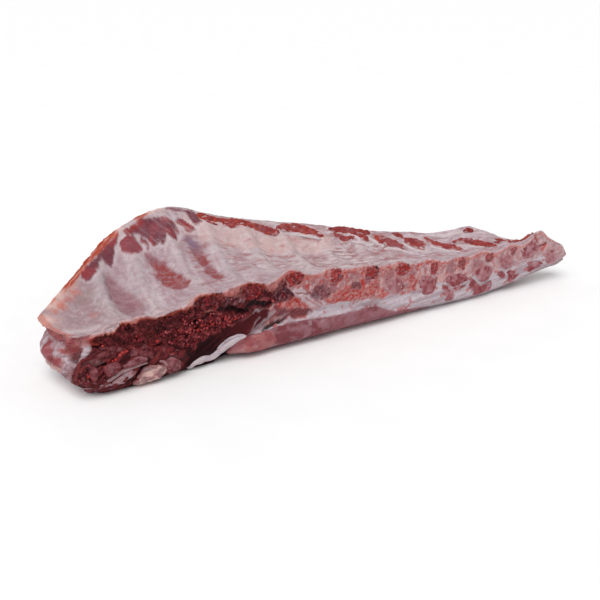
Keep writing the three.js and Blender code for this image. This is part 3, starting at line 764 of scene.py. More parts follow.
def lump(surface, outline, height, sink=2.0, dome=2.6, rough=0.3, size=4.0, seed=0, sides=72, rings=16):
    """A soft lump on a surface. Rings grow from its middle to its rounded outline, and stand
    height x (1 - out^dome)^0.6 above the surface. More rings close it underneath. Returns the rings and how
    far out each point is."""
    edge = round_outline(outline, sides)
    middle = edge.mean(0)
    out = np.concatenate([np.linspace(0.05, 1, rings), [1, 0.9, 0.5]])[:, None]
    below = np.concatenate([np.zeros(rings), [1, 1, 1]])[:, None]
    turn = turns(sides)
    uneven = 1 + 0.10 * noise(joined(np.cos(turn), np.sin(turn), seed) * 2.4, 1, seed, 3)
    u, v = (middle[i] + (edge[:, i] - middle[i]) * out * uneven for i in range(2))
    base, normal = surface(u, v), surface_normal(surface, u, v)
    wobble = noise(base, size, seed, 3)
    above = height * (1 - out ** dome) ** 0.6 + rough * wobble * (1 - out ** 6)
    offset = np.where(below > 0, -sink, above) - BEDDED * (out >= 1)
    return base + normal * offset[..., None], out + 0 * u


def fields_of(ground, crumb=0.0, fibre=0.0, wet=0.0):
    """The fields that the finishes read, one value for each point."""
    masks = {"crumb": crumb, "fibre": fibre, "wet": wet}
    return {"ground": ground, **{key: mask + np.zeros(ground.shape[:-1]) for key, mask in masks.items()}}


class Coat:
    """The colour of each point: a first colour, and others laid over it by their amounts."""

    def __init__(self, colours, first, points):
        self.colours, self.points = colours, points
        self.colour = np.broadcast_to(np.array(getattr(colours, first)), points.shape)

    def other(self, first):
        """Another coat for the same points."""
        return Coat(self.colours, first, self.points)

    def lay(self, over, amount):
        """Mixes in a colour by its name, or another coat."""
        over = over.colour if isinstance(over, Coat) else getattr(self.colours, over)
        self.colour = blend(self.colour, over, amount)
        return self


# ---- Finishes ----------------------------------------------------------------------------------------------
class Value:
    """A socket that carries a number. Sums, products and powers of such sockets add Math nodes."""

    def __init__(self, finish, socket):
        self.finish = finish
        self.socket = socket

    def math(self, operation, *others):
        inputs = dict(enumerate([self, *others]))
        return self.finish.node("ShaderNodeMath", {"operation": operation}, inputs)

    def __add__(self, other):
        return self.math("ADD", other)

    def __radd__(self, other):
        return self.math("ADD", other)

    def __mul__(self, other):
        return self.math("MULTIPLY", other)

    def __rmul__(self, other):
        return self.math("MULTIPLY", other)

    def __sub__(self, other):
        return self.math("SUBTRACT", other)

    def __rsub__(self, other):
        return (self * -1) + other

    def __pow__(self, other):
        return self.math("POWER", other)


class Finish:
    """One material and its nodes."""

    def __init__(self, name):
        self.material = bpy.data.materials.new(name)
        self.material.use_nodes = True
        self.tree = self.material.node_tree
        self.tree.nodes.clear()
        self.place = self.node("ShaderNodeTexCoord", output="Object")

    def node(self, kind, settings=None, inputs=None, output=0):
        """Adds a node: its settings first, then the values or links of its sockets. Returns one output."""
        node = self.tree.nodes.new(kind)
        for key, value in (settings or {}).items():
            setattr(node, key, value)
        for key, value in (inputs or {}).items():
            if isinstance(value, Value):
                self.tree.links.new(value.socket, node.inputs[key])
            else:
                node.inputs[key].default_value = value
        return Value(self, node.outputs[output]) if node.outputs else None

    def attribute(self, name, output="Fac"):
        """What a mesh's attribute says at each point."""
        return self.node("ShaderNodeAttribute", {"attribute_name": name}, output=output)

    def noise(self, size, detail=2.0, rough=0.5, stretch=None, turn=0.0):
        """Noise with features of this size in millimetres. A stretch draws it out along X, turned."""
        place = self.place
        if stretch:
            place = self.node("ShaderNodeMapping", None,
                              {"Vector": place, "Rotation": (0, 0, turn), "Scale": (1 / stretch, 1, 1)})
        return self.node("ShaderNodeTexNoise", None, {
            "Vector": place, "Scale": 1 / (size * MM), "Detail": detail, "Roughness": rough})

    def cells(self, size):
        """How far each place is from the middle of its own uneven cell."""
        inputs = {"Vector": self.place, "Scale": 1 / (size * MM)}
        return self.node("ShaderNodeTexVoronoi", None, inputs, "Distance")

    def step(self, value, low, high):
        """0 where the value is below low, 1 above high, and smooth between."""
        return self.node("ShaderNodeMapRange", {"interpolation_type": "SMOOTHSTEP"}, {
            "Value": value, "From Min": low, "From Max": high})

    def mix(self, amount, under, over, how="MIX"):
        """Two colours mixed by an amount."""
        colours = [colour if isinstance(colour, Value) else (*colour, 1) for colour in (under, over)]
        return self.node("ShaderNodeMix", {"data_type": "RGBA", "blend_type": how}, {
            0: amount, 6: colours[0], 7: colours[1]}, 2)

    def surface(self, colour, roughness, height, depth, coat, soft, soft_radius):
        """The shader itself. What lies under the skin scatters light by a fixed share."""
        bump = self.node("ShaderNodeBump", None, {
            "Height": height, "Distance": depth * MM, "Strength": BUMP_STRENGTH})
        shader = self.node("ShaderNodeBsdfPrincipled", None, {
            "Base Color": colour, "Roughness": roughness, "Normal": bump, "Coat Weight": coat,
            "Coat Roughness": COAT_ROUGHNESS, "Specular IOR Level": SPECULAR, "Subsurface Weight": soft,
            "Subsurface Scale": SCATTER_SCALE, "Subsurface Radius": soft_radius})
        self.node("ShaderNodeOutputMaterial", None, {"Surface": shader})
        return self.material


def flesh_finish(name, colours, grain=3.0, gloss=0.5, soft=0.1):
    """Raw meat, fat and bone, by what each point's fields say. ground is its colour, crumb how crumbly it is,
    which also paints glints on its specks and shade in its creases, fibre how stringy, and wet how much it
    shines."""
    finish = Finish(name)
    ground = finish.attribute("ground", "Color")
    crumb, stringy, wet = (finish.attribute(field) for field in ("crumb", "fibre", "wet"))
    fine, medium = finish.noise(1.0, 3), finish.noise(3.5, 3)
    clots = finish.cells(grain)
    strings = finish.noise(0.8, 3, 0.6, stretch=8, turn=-1.1)
    creases = finish.step(clots + fine * 0.4, 0.55, 0.85)
    # Painted glints: small pale specks, in the pale crumbs' colour, where the meat is crumbly.
    bright = finish.step(finish.noise(grain * 0.5, 2), 0.54, 0.66)
    colour = finish.mix(finish.step(strings, 0.55, 0.72) * stringy * 0.3, ground, colours.fat)
    colour = finish.mix(finish.step(strings, 0.5, 0.32) * stringy * 0.4, colour, colours.dark_lean_and_shade)
    # Painted shade in the sunk creases between the crumbs, in blood's near black.
    colour = finish.mix(creases * crumb * 0.6, colour, colours.blood_and_crease_shade)
    # Painted glints laid over the crumbly places.
    colour = finish.mix(bright * crumb * 0.3, colour, colours.crumb)
    colour = finish.mix(0.35, colour, fine * 0.8 + medium * 0.6 - 0.2, "OVERLAY")
    roughness = (fine * 0.25 + gloss) - wet * 0.14 + crumb * 0.1
    height = fine * 0.3 + strings * stringy * 0.4 + bright * crumb * 0.4 - creases * crumb * 0.6
    return finish.surface(colour, roughness, height, 0.7, wet * 0.06, soft, FLESH_SCATTER)


# ---- Looks: the colour, fields and relief of each side, by place -------------------------------------------
def ridged(spot, size, seed, octaves=2):
    """Noise folded at 0, from 0 in thin creases up to 1 on round crests."""
    total = sum(np.abs(noise(spot, size * 0.5 ** o, seed + 17 * o, 1)) * 0.5 ** o for o in range(octaves))
    return np.clip(total * 2.2 / (2 - 0.5 ** (octaves - 1)), 0, 1)


def drawn_out(u, v, along_u, along_v, length, width, seed, octaves=2):
    """Noise drawn out in one direction of a surface, given by its parts along u and v."""
    size = np.hypot(along_u, along_v)
    gone = (u * along_u + v * along_v) / size / length
    beside = (v * along_u - u * along_v) / size / width
    return noise(joined(gone, beside, 0), 1, seed, octaves)


def outlined(u, v, outlines, soft):
    """1 inside any of some outlines and 0 outside, over a soft edge."""
    return np.max([ramp(inside_outline(u, v, outline), -soft, soft) for outline in outlines], 0)


def inside_all(u, v, outlines):
    """How far a point lies inside the nearest of some outlines, negative outside them all."""
    return np.max([inside_outline(u, v, outline) for outline in outlines], 0)


def inside_bands(u, v, paths):
    """How far a point lies inside the nearest of some bands, negative outside them all."""
    return np.max([inside_band(u, v, path) for path in paths], 0)


def thick_crumbs(d, z):
    """1 where the crumbs of the shoulder end lie thickest, falling to 0 outside a slanting oval round it."""
    (d0, z0), (long, tall) = THICK_MIDDLE, THICK_SIZE
    return bell(np.hypot((d - d0) / long, (z - z0 - THICK_SLANT * (d - d0)) / tall), 1)


def windows_at(d, w):
    """How far each point is in a window between two ribs, from 0 to 1, and how red the lean in it is."""
    windows, reds = np.zeros_like(d), np.zeros_like(d)
    for outline, red in WINDOWS.values():
        window = ramp(inside_outline(d, w, outline), -2, 3)
        windows, reds = np.maximum(windows, window), np.maximum(reds, window * red)
    return windows, reds


def lay_streaks(ground, rough_d, rough_w, across):
    """Brown streaks along their paths, and a white fold by the neck."""
    d, w = ground.points[..., 0], ground.points[..., 1]
    streaks = ramp(inside_bands(rough_d, rough_w, STREAKS), -1.6, 1.0)
    ground.lay("bone_pink", streaks * (0.5 + 0.4 * across))
    ground.lay("strand_white", bell(w - 33 + 0.1 * d, 6) * within(d, (2, 10), (30, 48)) * 0.7)


def lay_neck_corner(ground, rough_d, rough_w, far):
    """The far corner by the neck: a painted tan shadow, peach fat, orange patches and streaks, and a red
    flush.
    """
    spot = ground.points
    d, w = spot[..., 0], spot[..., 1]
    # Painted shadow: greyish tan inside its outline.
    ground.lay("painted_tan_shadow", ramp(inside_outline(rough_d, rough_w, TAN_SHADOW_OUTLINE), -3, 3) * 0.6)
    peachy = ramp(52 - d, -10, 22) * ramp(14 - far, -12, 8)
    peachy = np.maximum(peachy, bell(np.hypot((d - 3) / 12, (w - 56) / 14), 1))
    ground.lay("peach", peachy * (0.55 + 0.3 * noise(spot, 8, 33)))
    patches = outlined(rough_d, rough_w, RIM_PATCHES, 3.5) * (0.55 + 0.6 * noise(spot, 4, 39, 3))
    ground.lay("rim_orange", patches * 0.75)
    edge_streaks = ramp(drawn_out(d, w, 1, 1, 16, 3, 37), 0.05, 0.5) * ramp(d, 10, 24)
    ground.lay("rim_orange", edge_streaks * peachy * ramp(far, 16, 5) * 0.75)
    flush = bell(np.hypot((d - 41 - 0.3 * (w - 54)) / 1.2, w - 54), 6)
    flush *= ramp(noise(spot, 9, 35, 3), -0.3, 0.4)
    ground.lay("flush", flush * 0.65)


def plate_muscles(ground, rough_d, rough_w, far):
    """Thin muscles at the far edge: dark and red lean in strands, veiled in places, their ends in fingers.
    Returns their coat, how much of each point they cover, and their strands."""
    spot = ground.points
    d, w = spot[..., 0], spot[..., 1]
    tendons = drawn_out(d, w, 0.4, -0.9, 30, 1.8, 41, 2)
    muscle_in = inside_all(rough_d, rough_w, PLATE_MUSCLES.values())
    fingers = ramp(tendons, 0.2, 0.6) * ramp(muscle_in, 6, 0)
    fingers *= 0.1 + 0.4 * ramp(d, 104, 124)
    lean = ground.other("plate_lean").lay("plate_red", ramp(noise(spot, 14, 43), -0.3, 0.6))
    lean.lay("strand_white", ramp(tendons, 0.6, 0.9) * 0.2 * ramp(d, 105, 125))
    lean.lay("plate_lean", ramp(tendons, -0.1, -0.7) * 0.6)
    veiled = ramp(noise(spot, 11, 45), 0.0, 0.6) * 0.3 + 0.45 * bell(np.hypot(d - 109, w - 140), 9)
    lean.lay("window_purple", veiled)
    lean.lay("rim_red", bell(far - 9, 5) * within(d, (102, 112), (122, 136)) * 0.7)
    return lean, ramp(muscle_in, -1.0, 1.3) * (1 - fingers), tendons


def lay_far_edge(ground, far):
    """The far edge: a rim in orange, red and peach lines, paler on either side of it, and film by the skirt.
    Returns where the rim is red."""
    spot = ground.points
    d, w = spot[..., 0], spot[..., 1]
    rim_width = 9 + 2.0 * noise(spot, 12, 51) - 5 * ramp(d, 100, 112)
    red_rim = within(d, (26, 42), (140, 146)) * ramp(rim_width - far, -1.5, 1.5)
    red_rim *= 1 - 0.9 * bell(d - 106, 4)
    wavy = far + 1.2 * noise(spot, 9, 54, 2)
    ground.lay("rim_orange", red_rim * 0.95)
    ground.lay("rim_red", red_rim * bell(wavy - 3.6, 1.5) * 0.9)
    ground.lay("peach", red_rim * bell(wavy - 6, 0.6) * 0.45)
    ground.lay("rim_red", red_rim * bell(wavy - 8, 1.2) * 0.85)
    pale_rim = within(d, (136, 142), (152, 158)) * ramp(far, 8, 3)
    pale_rim += bell(d - 106, 4) * ramp(far, 9, 4)
    ground.lay("peach", pale_rim * 0.7)
    skirted = ramp(d, 190, 215) * ramp(d, 500, 480) * ramp(far, 22, 10)
    ground.lay("strand_white", skirted * ramp(drawn_out(d, w, 1, -0.3, 16, 3, 57), 0, 0.5) * 0.7)
    ground.lay("streak", skirted * ramp(drawn_out(d, w, 1, -0.3, 20, 2, 59), 0.2, 0.6) * 0.6)
    return red_rim


def inside_look(c, d, w):
    """The membrane over the ribs: pale and bluish, mottled pink, with lean behind it between the ribs. Thin
    muscles lie across it at the far edge."""
    spot = joined(d, w, 0)
    rough_d, rough_w = d + 1.8 * noise(spot, 6, 3), w + 2.4 * noise(spot, 7, 5, 3)
    far = reach(d) - w
    nearest = np.min([np.abs(d - rib_at(k, w)) for k in range(RIB_COUNT)], 0)
    ribbed = ramp(w, 6, 30) * ramp(d, 330, 260)
    leaning = d - RIB_SWEEP * w - 22 * np.exp(-w / 11)
    strand = drawn_out(leaning + 1.5 * noise(spot, 9, 8), w, 0, 1, 22, 1.5, 7)
    coarse = drawn_out(leaning, w, 0, 1, 60, 5, 9)
    stringy = ramp(d, 300, 200) * ramp(w, 140, 110) * (0.25 + 0.75 * bell(w - 22, 30))
    stringy *= 0.5 + 0.5 * ramp(d + 6 * noise(spot, 12, 10), 45, 85)

    ground = Coat(c, "membrane_cool", spot).lay("membrane_pale", ramp(d, 40, 110))
    ground.lay("membrane", ramp(d, 150, 240))
    ground.lay("membrane_pale", ramp(d, 300, 400))
    ground.lay("mottle", ramp(noise(spot, 13, 11, 3), 0.0, 0.8) * 0.45)
    flecks = noise(spot * (1, 0.8, 1), 4.5, 15, 3)
    ground.lay("mottle", ramp(flecks, -0.1, -0.5) * 0.75)
    ground.lay("strand_white", ramp(flecks, 0.1, 0.6) * 0.45)
    ground.lay("mottle", ramp(nearest, 6, 15) * ribbed * 0.4)
    bones = bell(nearest, 6) * ribbed * ramp(d, 270, 225)
    ground.lay("rib_cream", bones * 0.55)
    ground.lay("bluish", bell(nearest, 7) * ribbed * ramp(noise(spot, 30, 13), 0, 0.6) * 0.3)
    across = drawn_out(d, w, 1, -0.12, 11, 2.6, 21, 3)
    zone = within(d, (130, 142), (330, 420)) * within(w, (30, 60), (128, 148)) * ramp(nearest, 3, 10)
    ground.lay("streak", ramp(across, 0.1, 0.5) * (0.25 + 0.8 * zone))
    long_streak = drawn_out(d, w, 0.96, -0.28, 30, 3, 23, 3)
    ground.lay("streak", ramp(long_streak, 0.15, 0.8) * ramp(d, 230, 300) * 0.5)
    ground.lay("strand_white", ramp(long_streak, -0.1, -0.6) * ramp(d, 200, 260) * 0.35)
    ground.lay("strand_white", ramp(strand, 0.1, 0.6) * stringy * 0.5)
    ground.lay("strand_pink", ramp(strand, -0.1, -0.6) * stringy * 0.55)
    ground.lay("strand_white", ramp(coarse, 0.15, 0.6) * stringy * 0.25)
    cream = ramp(inside_band(d + 4 * noise(spot, 14, 8), rough_w, CREAM_FAT), -9, 6)
    ground.lay("cream", cream * 0.75)
    ground.lay("cream_pink", cream * ramp(noise(spot, 9, 27, 3), 0.0, 0.7) * 0.5)

    windows, reds = windows_at(rough_d, rough_w)
    ground.lay("window_purple", windows * (0.48 + 0.44 * reds + 0.25 * noise(spot, 6, 25, 2)))
    bleeding = ramp(drawn_out(d, w, 1, -0.5, 9, 1.9, 29, 3), -0.6, 0.3)
    bleeding = (0.5 + 0.5 * bleeding) * within(w, (48, 60), (108, 126)) + 0.8 * bell(w - 130, 3) * (d < 140)
    ground.lay("window_red", reds * bleeding * 0.95)
    threads = ramp(drawn_out(d, w, 1, -0.15, 9, 1.5, 28, 3), 0.1, 0.55)
    threads *= 0.6 - 0.3 * ramp(w, 80, 110)
    ground.lay("mottle", windows * threads)
    ground.lay("blueberry", bell(np.hypot((rough_d - 166.5) / 4, (w - 131) / 9), 0.9) * 0.6)
    edges = bell(nearest - 8.5 - 2 * noise(spot, 14, 17), 1.8) * ribbed * ramp(d, 250, 215)
    edges *= ramp(w, 145, 120) * (1 - 0.7 * windows) * ramp(noise(spot, 25, 19), -0.4, 0.3)
    ground.lay("strand_white", edges * 0.45)
    fatty = ramp(-noise(spot, 9, 31, 2), 0.1, 0.7) * within(w, (-4, 2), (16, 26)) * ramp(d, 150, 100)
    ground.lay("cream", fatty * 0.7)

    lay_streaks(ground, rough_d, rough_w, across)
    lay_neck_corner(ground, rough_d, rough_w, far)
    for d0, w0, size in RED_SPOTS:
        ground.lay("flush", bell(np.hypot(rough_d - d0, (rough_w - w0) * 1.6), size) * 0.8)

    lean, muscle, tendons = plate_muscles(ground, rough_d, rough_w, far)
    ground.lay("strand_white", bell(inside_all(d, w, PLATE_MUSCLES.values()) + 1.5, 1.5) * 0.6)
    ground.lay(lean, muscle)
    red_rim = lay_far_edge(ground, far)

    raised = (bell(nearest, 6.5) - 0.45) * ribbed * ramp(far, 4, 30)
    relief = (0.4 * noise(spot, 24, 103) + 0.3 * strand * stringy - 1.1 * windows + 0.3 * edges + 2.2 * raised
              + muscle * (0.7 + 0.35 * tendons) - 0.9 * bell(muscle - 0.5, 0.3)
              + 0.4 * across * zone + 0.5 * long_streak * ramp(d, 230, 300)
              + 1.3 * cream * noise(spot, 10, 105, 3)
              + 0.8 * red_rim * noise(spot, 4, 107, 2) + 0.35 * noise(spot, 5, 109, 2) * (1 - stringy))
    neck_edge = ramp(5 - d - 1.5 * noise(spot, 5, 111), -1, 1) * ramp(w, 14, 26)
    ground.lay("rim_orange", neck_edge * 0.45)
    fade = ramp(w, 0, 3)
    return fields_of(ground.colour, red_rim * 0.2, muscle * 0.5, 0.9 - 0.5 * red_rim), relief * fade


def crumbly_meat(c, spot):
    """Sawn, crumbly meat: dark red, in slanting folds by the neck and in short strokes further on, with
    painted shade in their troughs, and pale crumbs, partly painted highlights, where they lie thickest.
    Returns its colour and how high it stands."""
    d, z = spot[..., 0], spot[..., 2]
    further = ramp(d, 92, 118)
    strokes = drawn_out(d, z, 1, 0.5, 4, 1.5, 208, 3) * further
    folds = drawn_out(d, z, 1, -1.2, 10, 1.7, 206, 3) * (1 - further) + strokes
    folds *= ramp(52 - z - 0.2 * (d - 60), -8, 4)
    folds += noise(spot, 2.4, 209, 3) * ramp(z - 48, -6, 4)
    large, small, fine = noise(spot, 15, 203, 3), noise(spot, 2.2, 205, 2), noise(spot, 1.3, 210, 2)
    thick = thick_crumbs(d, z)
    colour = Coat(c, "crumbly", spot).lay("lobe_red", ramp(folds, -0.1, 0.5) * 0.55)
    colour.lay("crumb_red", ramp(small + 0.3 * large, 0.05, 0.5) * (0.3 + 0.6 * thick))
    # Pale crumbs, partly painted highlights on the crumbly meat.
    colour.lay("crumb", ramp(fine + 0.4 * small, 0.3, 0.75) * (0.25 + 0.5 * thick))
    # Blood, with painted shade in the troughs of the folds.
    colour.lay("blood_and_crease_shade", ramp(folds, -0.1, -0.5) * 0.85)
    colour.lay("blood_and_crease_shade", ramp(large + 0.3 * small, 0.15, 0.7) * 0.6)
    return colour, 0.5 + 0.45 * folds + 0.35 * small * (0.4 + thick)


def bone_and_gristle(c, spot):
    """Sawn bone between the marrow: tan and pink, in upright grain, with gristle, and blood in its pores."""
    d, z = spot[..., 0], spot[..., 2]
    grain = 0.5 * drawn_out(d, z, 0.12, 1, 7, 1.5, 211, 3) + 0.6 * noise(spot, 3, 212, 3)
    colour = Coat(c, "bone_pink", spot).lay("bone_tan", ramp(grain, -0.35, 0.4))
    colour.lay("gristle", ramp(noise(spot, 7, 213, 3), 0.0, 0.5) * 0.55)
    colour.lay("fat", ramp(noise(spot, 2.4, 214, 3), 0.3, 0.7) * 0.35)
    pores = ramp(noise(spot, 3.2, 215, 3), 0.28, 0.6)
    return colour.lay("speckle_red", pores * 0.7), grain


def sawn_masks(spot, rough_d, rough_z):
    """How much of each area and line of the sawn face a point belongs to, from 0 to 1."""
    d, z = spot[..., 0], spot[..., 2]
    mask = {key: outlined(rough_d, rough_z, *area) for key, area in SAWN_AREAS.items()}
    for key, (paths, *span) in SAWN_LINES.items():
        mask[key] = ramp(inside_bands(rough_d, rough_z, paths), *span)
    mask["fat"] = ramp(along(FAT_TOP, d) - rough_z, -1, 1) * ramp(rough_d - 0.35 * z, 140, 160)
    below_fat = along(FAT_FOOT, d) - z - 0.6 * noise(spot, 8, 65)
    mask["lean"] = ramp(below_fat, -0.6, 0.6) * ramp(d, 142, 150)
    return mask


def lay_shoulder_lean(ground, mask):
    """The lean at the shoulder end: the neck lobe, the band over it, the dark muscle, deepened with painted
    shade, and the mauve muscle by it. Returns the grain of the lobe and of the dark muscle."""
    spot = ground.points
    d, z = spot[..., 0], spot[..., 2]
    lobe_grain = drawn_out(d, z, 1, 0.75, 9, 2.0, 221, 3)
    lobe = ground.other("lobe_lean").lay("lobe_red", ramp(lobe_grain, 0.0, 0.6) * 0.7)
    # Blood, with painted shade in the troughs of the lobe's grain.
    ground.lay(lobe.lay("blood_and_crease_shade", ramp(lobe_grain, -0.2, -0.6) * 0.6), mask["lobe"])
    band_grain = drawn_out(d, z, 1, 0.15, 8, 2.4, 223)
    band = ground.other("neck_band").lay("mottle", ramp(band_grain, -0.1, 0.6) * 0.5)
    band.lay("speckle_red", ramp(noise(spot, 4, 224, 2), 0.2, 0.6) * 0.6)
    ground.lay(band, mask["band"])
    dark_grain = drawn_out(d, z, 0.75, 0.45, 14, 2.2, 225, 3)
    # Dark muscle, its colour deepened with painted shade.
    dark = ground.other("dark_lean_and_shade").lay("lobe_lean", ramp(d + 12 * noise(spot, 9, 226), 125, 165))
    ground.lay(dark.lay("lobe_red", ramp(dark_grain, 0.2, 0.8) * 0.2), mask["dark"])
    mauve = ground.other("neck_roll").lay("lobe_lean", ramp(dark_grain, 0.1, 0.6) * 0.6)
    ground.lay(mauve, mask["mauve"] * 0.9)
    return lobe_grain, dark_grain


def lay_marrow(ground, rough_d, rough_z, cracked):
    """Marrow in superellipses in the sawn bones, cracked, with blood and painted shade in the cracks, and
    flecked, with part of a bony rim round it. Returns how much of each point is marrow, and how much is rim."""
    spot = ground.points
    d, z = spot[..., 0], spot[..., 2]
    tone, patchy = noise(spot, 3, 227, 3), noise(spot, 9, 233)
    flecks, fatty = ramp(noise(spot, 1.8, 231, 2), 0.3, 0.65), ramp(noise(spot, 1.6, 234, 2), 0.3, 0.6)
    marrow, rims = np.zeros_like(d), np.zeros_like(d)
    for (d0, z0, long, tall), bright, bony in MARROW:
        if np.min(np.abs(d - d0)) > long * 2:
            continue
        out = ((np.abs(rough_d - d0) / long) ** 2.4 + (np.abs(rough_z - z0) / tall) ** 2.4) ** (1 / 2.4)
        inner = ramp(out, 1.08, 0.9)
        heart = ground.other("marrow_dark").lay("marrow", 0.82 * bright + 0.7 * tone)
        heart.lay("speckle_red", ramp(rough_z - z0, -tall * 0.2, tall * 0.9) * 0.7 * bright)
        # Blood, with painted shade in the marrow's cracks.
        heart.lay("blood_and_crease_shade", ramp(cracked, 0.42, 0.1) * (0.95 - 0.3 * bright))
        heart.lay("crumb", flecks * 0.4).lay("fat", fatty * 0.4 * bright)
        ground.lay(heart, inner * (0.3 + 0.7 * (bony > 0)) * (0.95 - 0.2 * ramp(d, 330, 400)))
        rim = bell(out - 1.12, 0.11) * bony * ramp(patchy + ramp(z - z0, -tall, tall), 0, 0.6)
        ground.lay("cut_edge", rim * 0.9)
        marrow, rims = np.maximum(marrow, inner), np.maximum(rims, rim)
    return marrow, rims


def lay_bone_patches(ground, rough_d, rough_z):
    """Oval patches on the sawn bones. The pockets are painted dark as shade, and flecked with gristle, crumbs
    and fat, with blood and painted shade in their creases. Returns how much of each point is sunk."""
    spot = ground.points
    d, z = spot[..., 0], spot[..., 2]
    # Painted shade: the sunk pockets between the bones are dark.
    shaded_pocket = ground.other("shaded_pocket").lay("gristle", ramp(noise(spot, 4, 243, 3), 0.1, 0.6) * 0.35)
    # Blood, with painted shade in the pockets' creases.
    shaded_pocket.lay("blood_and_crease_shade", ramp(ridged(spot, 2.8, 236), 0.35, 0.08) * 0.8)
    shaded_pocket.lay("crumb", ramp(noise(spot, 1.8, 232, 2), 0.2, 0.55) * 0.4)
    shaded_pocket.lay("fat", ramp(drawn_out(d, z, 1, 1, 5, 0.8, 244, 2), 0.4, 0.65) * 0.4)
    sunk = np.zeros_like(d)
    for (d0, z0, long, tall), colour, strength in BONE_PATCHES:
        if np.min(np.abs(d - d0)) > long * 2:
            continue
        patch = ramp(np.hypot((rough_d - d0) / long, (rough_z - z0) / tall), 1.2, 0.8) * strength
        ground.lay(shaded_pocket if colour == "shaded_pocket" else colour, patch)
        sunk = np.maximum(sunk, patch * (colour in ("shaded_pocket", "clot_and_gap_shadow")))
    return sunk


def lay_loin(ground, mask):
    """Fat in long waves over the loin's lean. Returns the waves."""
    spot = ground.points
    d, z = spot[..., 0], spot[..., 2]
    wave = drawn_out(d, z, 1, 0.1, 26, 2.6, 75, 3)
    fat = ground.other("fat").lay("fat_shade", ramp(wave, 0.0, 0.5) * 0.75)
    fat.lay("speckle_red", ramp(noise(spot, 5, 235, 2), 0.62, 0.8) * 0.6)
    ground.lay(fat, mask["fat"])
    lean = ground.other("lean").lay("lobe_red", ramp(noise(spot, 9, 237, 3), 0, 0.8) * 0.4)
    lean.lay("neck_roll", ramp(drawn_out(d, z, 1, 0.2, 7, 1.6, 238, 3), 0.1, 0.6) * 0.5)
    ground.lay(lean, mask["lean"])
    return wave


